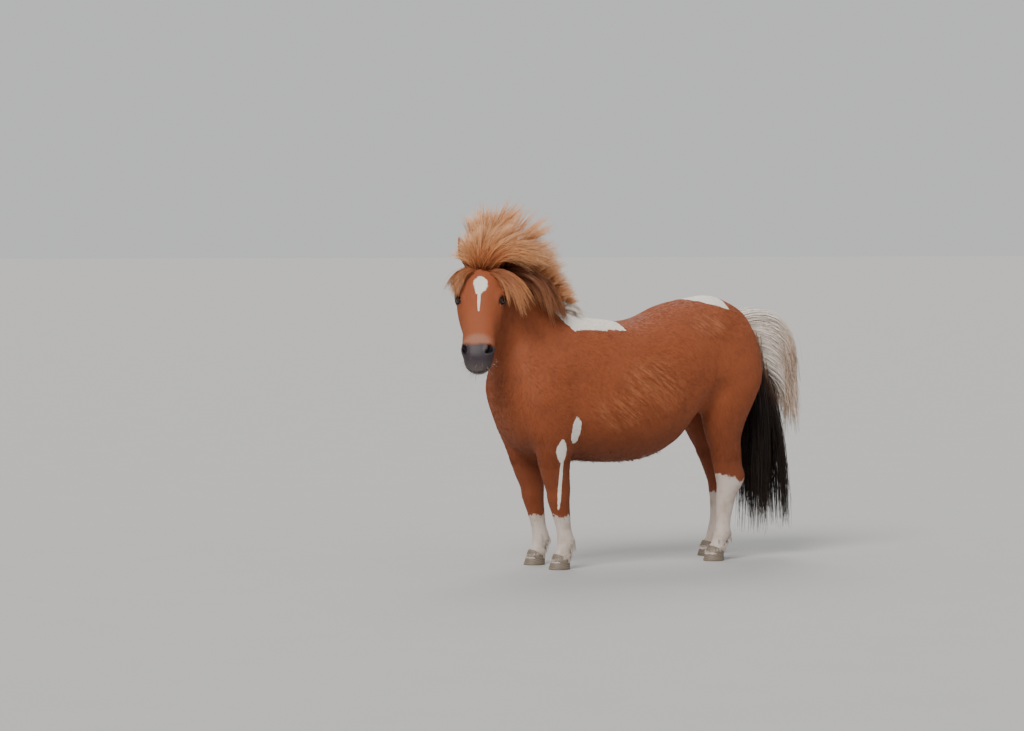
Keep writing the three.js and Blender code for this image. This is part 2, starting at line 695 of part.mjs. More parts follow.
// The forelock parts between the ears. Its right half is blown out over the temple, and its left half back
// past the eye.
function addForelock({ rightCount, leftCount, width }) {
  const right = Array.from({ length: rightCount }, (_, i) => {
    const share = (i + 0.5) / rightCount;
    const root = liftedClear(nose.point(6 + 12 * share, -4 - random(0, 14), 20), 0);
    const first = inHead(-0.15 + 0.5 * share, -1, 0.6 - 0.3 * share);
    const last = inHead(0.9 + 0.5 * share, -0.6 + 0.45 * share, 0);
    return lock({
      root, first, last, length: random(140, 172) - 15 * share, width: width * random(0.85, 1.15), thick: width * 0.3,
      facing: inHead(0.1, -0.5, 1), clear: 6,
    });
  });
  const left = Array.from({ length: leftCount }, (_, i) => {
    const share = (i + 0.5) / leftCount;
    const root = liftedClear(nose.point(6 + 14 * share, 4 + random(0, 14), 20), 0);
    const first = inHead(0.35 * share, 1, 0.45 - 0.2 * share);
    const last = inHead(0.8 + 0.5 * share, 0.62 - 0.3 * share, -0.42);
    return lock({
      root, first, last, length: random(195, 260), width: width * random(0.85, 1.15), thick: width * 0.3,
      facing: inHead(0.1, 0.7, 1), clear: 5,
    });
  });
  const pad = egg(nose.point(12, 0, 2), [headAlong, headSide, headUp], [30, 30, 20], 10, 6);
  add('forelock', clearOfBody(joined([pad, ...right, ...left])).intersect(forelockRoom(0)), colours.blond, 0.9);
}

// Tail: a dock, white hair that the wind lifts off it, and long dark hair below
const tailRoot = new THREE.Vector3(0, 506, 946);
const tailEnd = 72;
const dockAt = (share) => tailRoot.clone()
  .add(new THREE.Vector3(0, 96 * Math.sin(Math.min(share, 1) * 1.5), -250 * Math.max(share, 0) ** 1.4));
function whiteTailLocks(count, width) {
  return Array.from({ length: count }, (_, i) => {
    const share = (i + 0.5) / count;
    const side = Math.sin(i * 2.4);
    const root = dockAt(0.1 + 0.75 * share).add(new THREE.Vector3(side * 12, 0, 8));
    const first = towards(side * 0.4, 0.8, 0.2 - 0.7 * share);
    const last = towards(side * 0.1 + 0.04, 0.12 - 0.2 * share, -1);
    return lock({
      root, first, last, length: random(300, 370) - 20 * share, width: width * random(0.85, 1.2), thick: width * 0.42,
      facing: mixed(X, Y, 0.35 + 0.3 * Math.abs(side)), sag: 0.05, clear: 4,
    });
  });
}
function darkTailLocks(count, width) {
  return Array.from({ length: count }, (_, i) => {
    const share = (i + 0.5) / count;
    const side = Math.sin(i * 2.4);
    const outer = share > 0.7;
    const root = dockAt(0.5 + 0.45 * share).add(new THREE.Vector3(side * 14, 0, 0));
    const length = root.z - tailEnd - (outer ? random(0, 30) : random(0, 150));
    const first = towards(side * 0.22, outer ? 0.3 : 0, -1);
    const last = towards(side * 0.02, outer ? 0.05 : lerp(-0.03, 0.02, share), -1);
    return lock({
      root, first, last, length, width: width * 1.1, thick: width * 0.5,
      facing: mixed(X, Y, 0.35 + 0.3 * Math.abs(side)), clear: 4,
    });
  });
}
function addTail({ upper, lower, width }) {
  const dock = ringSolid(places(-0.12, 1, 9).map((share) => {
    const centre = share < 0 ? tailRoot.clone().add(new THREE.Vector3(0, share * 250, 0)) : dockAt(share);
    const size = lerp(30, 17, Math.max(share, 0));
    const normal = mixed(Z, Y, clamp(share * 1.3, 0, 1));
    return Array.from({ length: 8 }, (_, j) => {
      const angle = (2 * Math.PI * j) / 8;
      const ring = centre.clone().addScaledVector(X, size * Math.cos(angle));
      return ring.addScaledVector(normal, size * Math.sin(angle));
    });
  }));
  const locks = [...whiteTailLocks(upper, width), ...darkTailLocks(lower, width)];
  add('tail', joined([dock, ...locks]).subtract(makeTorso(gap)), colours.cream, 0.9);
}

addTrunk();
addHead();
addEars();
addMane({ rows: 8, standing: 10, hanging: 7, width: 46 });
addManeTuft({ count: 6, width: 34 });
addForelock({ rightCount: 7, leftCount: 6, width: 34 });
addTail({ upper: 13, lower: 12, width: 52 });

// The origin goes to the ground, under the middle of the outline
const outline = new THREE.Box3().setFromObject(pony);
const middle = outline.getCenter(new THREE.Vector3());
pony.position.set(-middle.x, -middle.y, -outline.min.z);

export default pony;
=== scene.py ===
import math

import bmesh
import bpy
import numpy as np
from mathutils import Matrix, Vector


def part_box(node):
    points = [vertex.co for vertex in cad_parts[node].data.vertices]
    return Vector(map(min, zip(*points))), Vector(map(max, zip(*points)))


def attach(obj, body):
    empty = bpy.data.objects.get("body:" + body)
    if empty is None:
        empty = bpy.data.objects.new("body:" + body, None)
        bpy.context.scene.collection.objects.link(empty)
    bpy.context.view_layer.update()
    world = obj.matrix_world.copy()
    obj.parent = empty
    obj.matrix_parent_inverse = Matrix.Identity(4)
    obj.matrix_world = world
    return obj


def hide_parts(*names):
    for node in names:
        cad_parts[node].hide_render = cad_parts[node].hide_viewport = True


# A Shetland pony in its summer coat, with the wind in its mane and tail.
# The forms are worked out in millimetres, in the pony's own frame, and meshes are made in metres.

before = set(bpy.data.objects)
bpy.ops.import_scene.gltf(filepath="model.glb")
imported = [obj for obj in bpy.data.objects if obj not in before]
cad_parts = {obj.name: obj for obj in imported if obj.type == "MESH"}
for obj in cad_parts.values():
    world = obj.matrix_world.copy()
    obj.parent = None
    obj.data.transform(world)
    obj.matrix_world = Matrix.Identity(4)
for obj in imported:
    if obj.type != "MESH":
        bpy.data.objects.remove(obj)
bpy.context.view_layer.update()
mm = 0.001
rng = np.random.default_rng(11)


def unit(v):
    v = np.asarray(v, float)
    return v / np.maximum(np.linalg.norm(v, axis=-1, keepdims=True), 1e-9)


def dot(a, b):
    return (a * b).sum(-1)


def smooth(low, high, value):
    t = np.clip((value - low) / (high - low), 0, 1)
    return t * t * (3 - 2 * t)


def triple(*values):  # points or directions from three values, any of which may be an array
    return np.stack(np.broadcast_arrays(*values), -1)


xWay, yWay, zWay = np.eye(3)


# Forms of the body

def upright(rows):  # rows given by top, bottom, half-width and the height of the widest line
    return [[at, 0, widest, width, top - widest, widest - bottom] for at, top, bottom, width,
            widest in rows]


def between(rows, at):  # smooth values between rows, by the first column
    rows = np.asarray(rows, float)
    last = len(rows) - 1
    i = np.clip(np.searchsorted(rows[:, 0], at) - 1, 0, last - 1)
    a, b = rows[i], rows[i + 1]
    before, after = rows[np.maximum(i - 1, 0)], rows[np.minimum(i + 2, last)]
    span = b[:, :1] - a[:, :1]
    t = (at[:, None] - a[:, :1]) / span
    slopeA = (b - before) / (b[:, :1] - before[:, :1]) * span
    slopeB = (after - a) / (after[:, :1] - a[:, :1]) * span
    t2, t3 = t * t, t * t * t
    return (2 * t3 - 3 * t2 + 1) * a + (t3 - 2 * t2
                                        + t) * slopeA + (3 * t2 - 2 * t3) * b + (t3 - t2) * slopeB


class Form:  # a rounded form along a line; a row is place, shift, rise, half-width, reach up, reach down
    def __init__(self, origin, along, side, up, rows, fullness=2.0, startRound=1.0, endRound=1.0):
        self.origin, self.along, self.side, self.up = (np.asarray(v, float)
                                                       for v in (origin, along, side, up))
        self.fullness, self.startRound, self.endRound = fullness, startRound, endRound
        self.start, self.end = rows[0][0], rows[-1][0]
        self.places = np.linspace(self.start, self.end, 500)
        self.table = between(rows, self.places)

    def row(self, at):
        return [np.interp(at, self.places, self.table[:, c]) for c in range(1, 6)]

    def point(self, at, across, rise):
        at, across, rise = (np.asarray(v, float)[..., None] for v in (at, across, rise))
        return self.origin + self.along * at + self.side * across + self.up * rise

    def local(self, p):  # place along, across and up of world points
        q = p - self.origin
        return np.stack([q @ self.along, q @ self.side, q @ self.up], -1)

    def centre(self, at):
        shift, rise = self.row(at)[:2]
        return self.point(at, shift, rise)

    def distance(self, p):
        at, s, u = self.local(p).T
        held = np.clip(at, self.start + 0.02, self.end - 0.02)
        shift, rise, width, up, down = self.row(held)
        s, u = s - shift, u - rise
        a = np.clip((held - self.start) / self.startRound, 0, 1)
        b = np.clip((self.end - held) / self.endRound, 0, 1)
        size = np.maximum(np.sqrt(a * (2 - a)) * np.sqrt(b * (2 - b)), 0.03)
        power = self.fullness
        wide = np.abs(s / (width * size)) ** power
        tall = np.abs(u / (np.where(u > 0, up, down) * size)) ** power
        ratio = np.maximum((wide + tall) ** (1 / power), 0.05)
        across = (np.hypot(s, u) + 1e-6) * (1 - 1 / ratio)
        past = np.abs(at - held)
        return np.where(past > 1, np.hypot(np.maximum(across, 0), past), across)


def join(a, b, blend):
    h = np.maximum(blend - np.abs(a - b), 0) / blend
    return np.minimum(a, b) - h * h * blend * 0.25


def carve(a, b, blend):  # takes b away from a, with a soft edge
    return -join(-a, b, blend)


def lump(form, at, across, rise, sizes):
    centre, sizes = form.point(at, across, rise), np.array(sizes, float)
    turned = np.stack([form.along, form.side, form.up]).T
    return lambda p: (np.linalg.norm((p - centre) @ turned / sizes, axis=-1) - 1) * sizes.min()


trunk = {
    "withers": 955, "croup": 1035, "belly": 396, "breastAt": -600, "buttockAt": 556,
    "coatDepth": 2.6, "thinCoatDepth": 1.2, "cell": 8.0,
}
body = Form((0, 0, 0), yWay, xWay, zWay, upright([
    [trunk["breastAt"], 770, 610, 128, 690],
    [-540, 840, 520, 152, 680],
    [-470, 885, 450, 172, 670],
    [-390, 922, 420, 186, 650],
    [-300, 948, 408, 200, 640],
    [-220, trunk["withers"], 403, 214, 632],
    [-130, 948, trunk["belly"], 232, 622],
    [-50, 940, trunk["belly"], 244, 618],
    [40, 956, 406, 247, 625],
    [140, 998, 454, 238, 655],
    [215, 1017, 540, 226, 700],
    [290, 1029, 590, 212, 745],
    [350, trunk["croup"], 606, 200, 775],
    [430, 1010, 612, 180, 780],
    [500, 968, 626, 152, 785],
    [trunk["buttockAt"], 930, 650, 128, 785],
]), 2.2, 110, 90)

neckFrom, neckTo = np.array([0, -400, 790.0]), np.array([12, -634, 1072.0])
neckAlong = unit(neckTo - neckFrom)
neckSide = unit(np.cross(neckAlong, zWay))
neckUp = np.cross(neckSide, neckAlong)
neck = Form(neckFrom, neckAlong, neckSide, neckUp, [
    [-120, 0, 0, 150, 235, 230],
    [0, 0, 0, 128, 222, 224],
    [90, 4, 0, 102, 206, 182],
    [180, 6, 0, 84, 174, 142],
    [270, 2, 0, 74, 146, 112],
    [350, 0, 0, 66, 122, 86],
    [410, 0, 0, 58, 104, 60],
], 2.1, 60, 50)

head = {"length": 436, "turn": math.radians(57), "pitch": math.radians(28), "poll": (60, -671, 1177)}
faceWay = np.array([math.sin(head["turn"]), -math.cos(head["turn"]), 0])
headAlong = faceWay * math.sin(head["pitch"]) - zWay * math.cos(head["pitch"])
headUp = faceWay * math.cos(head["pitch"]) + zWay * math.sin(head["pitch"])
headSide = np.cross(zWay, faceWay)
skull = Form(head["poll"], headAlong, headSide, headUp, upright([
    [-14, -20, -112, 60, -60],
    [35, -2, -158, 76, -62],
    [85, 5, -190, 86, -64],
    [130, 2, -198, 91, -68],
    [165, -6, -192, 92, -74],
    [205, -18, -176, 85, -84],
    [240, -32, -156, 75, -90],
    [280, -44, -132, 60, -88],
    [320, -52, -112, 42, -82],
]), 2.3, 50, 60)
nose = Form(head["poll"], headAlong, headSide, headUp, upright([
    [50, -10, -80, 46, -40],
    [150, -2, -90, 52, -44],
    [220, -8, -94, 57, -50],
    [275, -11, -100, 61, -56],
    [325, -10, -104, 62, -58],
    [362, -10, -108, 60, -58],
    [394, -17, -108, 54, -62],
    [418, -32, -104, 46, -68],
    [head["length"], -44, -98, 36, -70],
]), 2.4, 60, 30)


def inHead(along, across, rise):
    return unit(headAlong * along + headSide * across + headUp * rise)


headLumps = [lump(nose, 408, 0, -92, [26, 34, 20])] + [
    lump(nose, at, side * across, rise, sizes)
    for side in (1, -1)
    for at, across, rise, sizes in [
        (138, 74, -38, [34, 27, 22]), (118, 54, -128, [66, 38, 62]), (360, 44, -32, [26, 18, 22]),
    ]
]

legSizes = {
    "foreAcross": 100, "hindAcross": 94, "hindStep": 88, "hip": 780,
    "fore": [  # height, place across and along, half-width, reach forward and back
        [20, 0, -354, 36, 44, 40], [46, 0, -348, 31, 36,
                                    34], [70, 0, -341, 27, 29, 29], [97, 0, -332, 31, 31, 37],
        [150, 1, -340, 26, 29, 31], [209, 2, -354, 30, 34,
                                     38], [262, 3, -362, 38, 45, 42], [300, 4, -366, 39, 48, 48],
        [347, 8, -378, 42, 56, 56], [400, 14, -390, 46, 62, 66], [450, 22, -402, 52, 66, 82],
        [540, 34, -418, 58, 84, 108], [640, 38, -420, 56, 100, 108], [740, 24, -392, 50, 90, 90],
        [840, -8, -340, 42, 66, 66],
    ],
    "hind": [
        [20, 0, 336, 36, 44, 38], [46, 0, 344, 31, 36,
                                   33], [70, 0, 356, 27, 29, 29], [97, 0, 368, 31, 31, 37],
        [150, -1, 377, 26, 30, 30], [217, -1, 385, 30, 35,
                                     37], [260, -1, 393, 34, 42, 43], [290, 0, 400, 37, 48, 56],
        [325, 1, 404, 37, 60, 67], [376, 3, 394, 40, 64,
                                    62], [430, 7, 382, 48, 66, 66], [484, 12, 368, 58, 74, 76],
        [550, 20, 362, 68, 88, 98], [620, 24, 372, 84, 108, 118], [700, 20, 388, 98, 128, 136],
        [780, 12, 390, 100, 132, 140], [860, -2, 380, 84, 112, 128], [940, -24, 370, 60, 84, 100],
    ],
}


def legForm(rows, base, side, step):
    placed = []
    for height, across, place, *reach in rows:
        share = min(max((legSizes["hip"] - height) / (legSizes["hip"] - 200), 0), 1)
        placed.append([height, side * (base + across), -(place + step * share), *reach])
    return Form((0, 0, 0), zWay, xWay, -yWay, placed, 2.15, 4, 60)


legs = {
    "front_left": legForm(legSizes["fore"], legSizes["foreAcross"], 1, 0),
    "front_right": legForm(legSizes["fore"], legSizes["foreAcross"], -1, 0),
    "hind_left": legForm(legSizes["hind"], legSizes["hindAcross"], 1, 0),
    "hind_right": legForm(legSizes["hind"], legSizes["hindAcross"], -1, legSizes["hindStep"]),
}

eye = {"at": 150, "across": 74, "rise": -46, "radius": 18.5, "long": 18.5, "high": 11.5, "lid": 3.2}
eyeLow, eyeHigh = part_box("eye_left")
eyeShift = (eyeLow + eyeHigh) * 500 - Vector(nose.point(eye["at"], eye["across"], eye["rise"]))
# from the pony's frame to the CAD frame
shift = np.array([round(eyeShift.x, 1), eyeShift.y, round(eyeShift.z, 1)])


def eyeFrame(side):  # centre, and the directions of the lids' slit, across it, and out
    centre = nose.point(eye["at"], side * eye["across"], eye["rise"])
    out = inHead(0.1, side * 0.72, 0.68)
    slit = headAlong + headUp * 0.25
    slit = unit(slit - out * dot(slit, out))
    return centre, slit, np.cross(out, slit) * side, out


def faceDetail(p, d):  # lids, nostrils and lips on the plain head
    for side in (1, -1):
        centre, slit, above, out = eyeFrame(side)
        q = p - centre
        near = np.linalg.norm(q, axis=-1) < 70
        q, e = q[near], d[near]
        a, b, c = q @ slit, q @ above * np.sign(above @ headUp), q @ out
        # the socket round the lids
        e = carve(e, np.linalg.norm(q - out * 36 - headUp * 4, axis=-1) - 21, 12)
        lids = np.linalg.norm(q, axis=-1) - eye["radius"] - eye["lid"]
        e = join(e, lids + 0.06 * np.abs(a), 8)
        fold = np.hypot(c - eye["radius"] * 0.8, b - 15 + a * a * 0.012) - 2.0  # crease over the upper lid
        e = carve(e, np.maximum(fold, np.abs(a) - 24), 4)
        slitHigh = eye["high"] * (1 - (a / eye["long"]) ** 2) - np.abs(b + 0.8 - 0.05 * a)
        opening = np.maximum(-slitHigh * 0.7, eye["radius"] - 2 - np.linalg.norm(q, axis=-1))
        e = carve(e, np.maximum(opening, -c), 2.2)
        d[near] = e
        hole = nose.point(364, side * 47, -20)
        slant = unit(headAlong - headSide * side * 0.35)
        inward = headSide * side * 0.7 + headUp * 0.7
        inward = unit(inward - slant * dot(inward, slant))
        q = p - hole
        near = np.linalg.norm(q, axis=-1) < 60
        q, e = q[near], d[near]
        a, b, c = q @ slant, q @ np.cross(inward, slant), q @ inward
        rim = np.sqrt((a / 21) ** 2 + (b / 13) ** 2 + (c / 18) ** 2) - 1
        e = join(e, rim * 11, 7)
        well = np.sqrt((a / 18) ** 2 + ((b + 0.014 * a * a) / 9.5) ** 2 + (c / 24) ** 2) - 1
        d[near] = carve(e, well * 9, 4)
    at, across, rise = nose.local(p).T
    slot = np.abs(rise + 70 + 0.0016 * across ** 2 + (at - 424) * 0.05) - 1.4
    slot = np.maximum(np.maximum(slot, 378 - at), -(d + 8))
    d = carve(d, slot, 4.5)
    groove = np.hypot(across * 0.8, rise + 40) - 4  # between the nostrils, down the upper lip
    return carve(d, np.maximum(groove, 424 - at), 8)


def headShape(p, detail=False):
    d = join(skull.distance(p), nose.distance(p), 24)
    for one in headLumps:
        d = join(d, one(p), 16)
    return faceDetail(p, d) if detail else d


def legShape(p):
    d = np.full(len(p), 1e3)
    for form in legs.values():
        d = np.minimum(d, form.distance(p))
    return d


def flesh(p, detail=False):
    d = np.maximum(body.distance(p), trunk["breastAt"] + 5 - p[:, 1])
    for form in legs.values():
        d = join(d, form.distance(p), 40)
    d = join(d, neck.distance(p), 60)
    h = headShape(p, detail)
    d = join(d, h, 44)
    thick = np.clip(h / 60, 0, 1) * np.clip((p[:, 2] - 330) / 120, 0, 1)
    return d + trunk["thinCoatDepth"] + (trunk["coatDepth"] - trunk["thinCoatDepth"]) * thick


def outward(shape, p, nudge=1.5):
    slope = [shape(p + way * nudge) - shape(p - way * nudge) for way in (xWay, yWay, zWay)]
    return unit(np.stack(slope, -1))


# Meshes

def meshObject(name, points, faces, uv=None, extra=None, rounded=True):
    mesh = bpy.data.meshes.new(name)
    mesh.vertices.add(len(points))
    mesh.vertices.foreach_set("co", ((points + shift) * mm).astype(np.float32).ravel())
    mesh.loops.add(faces.size)
    mesh.loops.foreach_set("vertex_index", faces.astype(np.int32).ravel())
    mesh.polygons.add(len(faces))
    mesh.polygons.foreach_set("loop_start", np.arange(0, faces.size, faces.shape[1], dtype=np.int32))
    mesh.update(calc_edges=True)
    mesh.polygons.foreach_set("use_smooth", np.full(len(faces), rounded))
    if uv is not None:
        layer = mesh.uv_layers.new(name="OFBake")
        layer.data.foreach_set("uv", uv[faces.ravel()].astype(np.float32).ravel())
    for key, values in (extra or {}).items():
        mesh.attributes.new(key, "FLOAT", "POINT").data.foreach_set("value", values.astype(np.float32))
    thing = bpy.data.objects.new(name, mesh)
    bpy.context.scene.collection.objects.link(thing)
    return thing


def finishPiece(thing, material, slotName, *nodes):
    thing.data.materials.append(material)
    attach(thing, "root")
    if nodes:
        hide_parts(*nodes)
    print(thing.name, len(thing.data.polygons), "faces")
    return thing


def netSurface(shape, low, high, cell, band=3.0):  # quads round the places where shape changes sign
    low = np.asarray(low, float)
    count = (np.ceil((np.asarray(high) - low) / cell)).astype(int) + 1
    coarse = 4
    rough = [np.arange(0, n + coarse, coarse) for n in count]
    grid = np.stack(np.meshgrid(*rough, indexing="ij"), -1)
    roughValue = shape(grid.reshape(-1, 3) * cell + low).reshape(grid.shape[:3])
    fine = np.repeat(np.repeat(np.repeat(roughValue, coarse, 0), coarse, 1), coarse, 2)
    half = coarse // 2
    fine = fine[half:half + count[0], half:half + count[1], half:half + count[2]]
    value = np.ones(count, np.float32) * 50
    value[:fine.shape[0], :fine.shape[1], :fine.shape[2]] = fine
    near = np.argwhere(np.abs(value) < coarse * cell * band * 0.6)
    for part in np.array_split(near, max(len(near) // 300000, 1)):
        value[tuple(part.T)] = shape(part * cell + low)
    inside = value < 0
    corners = [(i, j, k) for i in (0, 1) for j in (0, 1) for k in (0, 1)]
    cut = [slice(0, -1), slice(1, None)]
    total = sum(inside[cut[i], cut[j], cut[k]].astype(np.int8) for i, j, k in corners)
    cells = np.argwhere((total > 0) & (total < 8))
    number = np.full(total.shape, -1, np.int64)
    number[tuple(cells.T)] = np.arange(len(cells))
    sums, hits = np.zeros((len(cells), 3)), np.zeros(len(cells))
    for a in corners:
        for axis in range(3):
            if a[axis]:
                continue
            b = list(a)
            b[axis] = 1
            va = value[tuple((cells + a).T)]
            vb = value[tuple((cells + b).T)]
            crossing = (va < 0) != (vb < 0)
            t = va / np.where(crossing, va - vb, 1)
            spot = cells + np.array(a, float)
            spot[:, axis] += np.clip(t, 0, 1)
            sums += spot * crossing[:, None]
            hits += crossing
    points = sums / hits[:, None] * cell + low
    faces = []
    for axis in range(3):
        b, c = (axis + 1) % 3, (axis + 2) % 3
        ahead = np.roll(inside, -1, axis)
        edges = np.argwhere(inside != ahead)
        edges = edges[(edges[:, axis] < count[axis] - 1) & (edges[:, b] > 0) & (edges[:, c] > 0)]
        edges = edges[(edges[:, b] < count[b] - 1) & (edges[:, c] < count[c] - 1)]
        stepB, stepC = np.eye(3, dtype=int)[b], np.eye(3, dtype=int)[c]
        quad = np.stack([number[tuple((edges - o).T)] for o in (stepB + stepC, stepC, 0 * stepB, stepB)],
                        -1)
        flip = ~inside[tuple(edges.T)]
        quad[flip] = quad[flip][:, ::-1]
        faces.append(quad[(quad >= 0).all(1)])
    return points, np.concatenate(faces)


def settle(shape, points, rounds=3):  # moves points onto the surface
    for _ in range(rounds):
        for part in np.array_split(np.arange(len(points)), max(len(points) // 200000, 1)):
            p = points[part]
            points[part] = p - outward(shape, p, 0.8) * np.clip(shape(p), -4, 4)[:, None] * 0.9
    return points


def refined(thing, wanted, rounds=3):  # splits the faces that wanted picks, then settles them
    work = bmesh.new()
    work.from_mesh(thing.data)
    work.faces.ensure_lookup_table()
    middles = np.array([f.calc_center_median() for f in work.faces]) / mm - shift
    chosen = [work.faces[i] for i in np.flatnonzero(wanted(middles))]
    edges = list({e for f in chosen for e in f.edges})
    bmesh.ops.subdivide_edges(work, edges=edges, cuts=1, use_grid_fill=True)
    work.to_mesh(thing.data)
    work.free()
    mesh = thing.data
    flat = np.empty(len(mesh.vertices) * 3, np.float32)
    mesh.vertices.foreach_get("co", flat)
    points = flat.reshape(-1, 3).astype(float) / mm - shift
    moved = wanted(points)
    points[moved] = settle(lambda p: flesh(p, True), points[moved], rounds)
    mesh.vertices.foreach_set("co", ((points + shift) * mm).astype(np.float32).ravel())
    mesh.update()


# Skin

earSizes = {"length": 122, "sections": [
    [-14, 17, 16], [15, 20, 18], [45, 24, 18], [75, 21,
                                                15], [100, 12.5, 10], [117, 4.5, 5], [122, 2.2, 2.6],
]}


def earForm(side, thinner=0.0, forward=0.0):
    way = inHead(-0.72, side * 0.27, 0.6)
    front = headUp + headSide * side * 0.45
    front = unit(front - way * dot(front, way))
    rows = [
        [at, 0, at * at * 0.0009 + forward, max(wide - thinner, 0.6), max(deep - thinner, 0.6),
         max(deep * 0.8 - thinner, 0.6)]
        for at, wide, deep in earSizes["sections"]
    ]
    return Form(nose.point(12, side * 47, -34), way, np.cross(way, front), front, rows, 2.0, 1, 4)


ears = {1: (earForm(1), earForm(1, 3.4, 8)), -1: (earForm(-1), earForm(-1, 3.4, 8))}


def earShape(side):
    outer, cup = ears[side]

    def shape(p):
        at = outer.local(p)[:, 0]
        return carve(outer.distance(p) + 0.4, np.maximum(cup.distance(p), (14 - at) * 0.7), 2)
    return shape


def makeSkin():
    margin = 12
    low, high = np.array([-262, -812, 30.0]), np.array([262, 660, 1230.0])
    points, faces = netSurface(lambda p: flesh(p, True), low - margin, high + margin, trunk["cell"])
    plain = headShape(points) > 30
    points[plain] = settle(flesh, points[plain], 2)
    thing = meshObject("skin", points, faces)
    refined(thing, lambda p: (headShape(p) < 16) & (nose.local(p)[:, 0] > 20))
    detail = [nose.point(364, side * 47, -20) for side in (1, -1)] + [eyeFrame(side)[0] for side in (1, -1)]

    def close(p):
        near = np.min([np.linalg.norm(p - c, axis=-1) for c in detail], axis=0) < 34
        return near | ((np.abs(nose.local(p)[:, 2] + 70) < 16) & (nose.local(p)[:, 0] > 372))
    refined(thing, close, 4)
    parts = []
    for side in (1, -1):
        outer = ears[side][0]
        corners = [(a, b, c) for a in (-20, 130) for b in (-30, 30) for c in (-30, 50)]
        spots = outer.point(*np.array(corners).T)
        ear = earShape(side)
        earPoints, earFaces = netSurface(ear, spots.min(0) - 6, spots.max(0) + 6, 1.7)
        parts.append(meshObject("ear", settle(ear, earPoints, 1), earFaces))
    bpy.ops.object.select_all(action="DESELECT")
    for one in [thing, *parts]:
        one.select_set(True)
    bpy.context.view_layer.objects.active = thing
    bpy.ops.object.join()
    thing.data.polygons.foreach_set("use_smooth", np.ones(len(thing.data.polygons), bool))
    return thing


# Materials

class Wire:  # one socket of a shader, with arithmetic
    def __init__(self, shader, socket):
        self.shader, self.socket = shader, socket

    def maths(self, operation, *others, flip=False):
        values = [self, *others][::-1] if flip else [self, *others]
        return self.shader.node("ShaderNodeMath", {"operation": operation}, values)

    def __add__(self, other):
        return self.maths("ADD", other)

    def __radd__(self, other):
        return self.maths("ADD", other)

    def __sub__(self, other):
        return self.maths("SUBTRACT", other)

    def __rsub__(self, other):
        return self.maths("SUBTRACT", other, flip=True)

    def __mul__(self, other):
        return self.maths("MULTIPLY", other)

    def __rmul__(self, other):
        return self.maths("MULTIPLY", other)

    def __truediv__(self, other):
        return self.maths("DIVIDE", other)

    def least(self, other):
        return self.maths("MINIMUM", other)

    def most(self, other):
        return self.maths("MAXIMUM", other)

    def ramp(self, low, high):  # 0 below low, 1 above high
        settings = {"interpolation_type": "SMOOTHSTEP"}
        return self.shader.node("ShaderNodeMapRange", settings,
                                {"Value": self, "From Min": low, "From Max": high})


class Shader:
    def __init__(self, name, **looks):
        self.material = bpy.data.materials.new(name)
        self.material.use_nodes = True
        self.tree = self.material.node_tree
        self.surface = self.tree.nodes["Principled BSDF"]
        for key, value in looks.items():
            self.surface.inputs[key.replace("_", " ")].default_value = value

    def node(self, kind, settings=None, inputs=None, output=0):
        made = self.tree.nodes.new(kind)
        for key, value in (settings or {}).items():
            if key == "stops":
                stops = made.color_ramp.elements
                stops.remove(stops[1])
                stops[0].position, stops[0].color = value[0][0], (*value[0][1], 1)
                for place, colour in value[1:]:
                    stops.new(place).color = (*colour, 1)
            else:
                setattr(made, key, value)
        pairs = inputs.items() if isinstance(inputs, dict) else enumerate(inputs or [])
        for key, value in pairs:
            if isinstance(value, Wire):
                self.tree.links.new(value.socket, made.inputs[key])
            else:
                made.inputs[key].default_value = value
        return Wire(self, made.outputs[output])

    def feed(self, key, wire):
        self.tree.links.new(wire.socket, self.surface.inputs[key])

    def position(self):  # millimetres in the pony's own frame
        place = self.node("ShaderNodeTexCoord", output="Object")
        scaled = self.vector("SCALE", place, scale=1 / mm)
        return self.vector("SUBTRACT", scaled, tuple(shift))

    def vector(self, operation, *values, output=0, scale=None):
        inputs = dict(enumerate(values))
        if scale is not None:
            inputs["Scale"] = scale
        return self.node("ShaderNodeVectorMath", {"operation": operation}, inputs, output)

    def split(self, vector):
        made = self.node("ShaderNodeSeparateXYZ", None, [vector])
        outputs = made.socket.node.outputs
        return [Wire(self, outputs[i]) for i in range(3)]

    def noise(self, vector, scale, detail=3.0, rough=0.55):
        inputs = {"Vector": vector, "Scale": scale, "Detail": detail, "Roughness": rough}
        return self.node("ShaderNodeTexNoise", None, inputs)

    def attribute(self, name):
        return self.node("ShaderNodeAttribute", {"attribute_name": name}, None, "Fac")

    def mix(self, first, second, share):
        first, second = (v if isinstance(v, Wire) else (*v, 1) for v in (first, second))
        return self.node("ShaderNodeMix", {"data_type": "RGBA"}, {0: share, 6: first, 7: second}, 2)

    def blob(self, place, centre, sizes):  # positive inside an ellipsoid
        away = self.vector("DIVIDE", self.vector("SUBTRACT", place, centre), sizes)
        return 1 - self.vector("LENGTH", away, output="Value")

    def blobs(self, place, several):
        found = self.blob(place, *several[0])
        for centre, sizes in several[1:]:
            found = found.most(self.blob(place, centre, sizes))
        return found

    def bump(self, height, depth, strength=1.0):
        return self.node("ShaderNodeBump", None,
                         {"Strength": strength, "Distance": depth * mm, "Height": height})


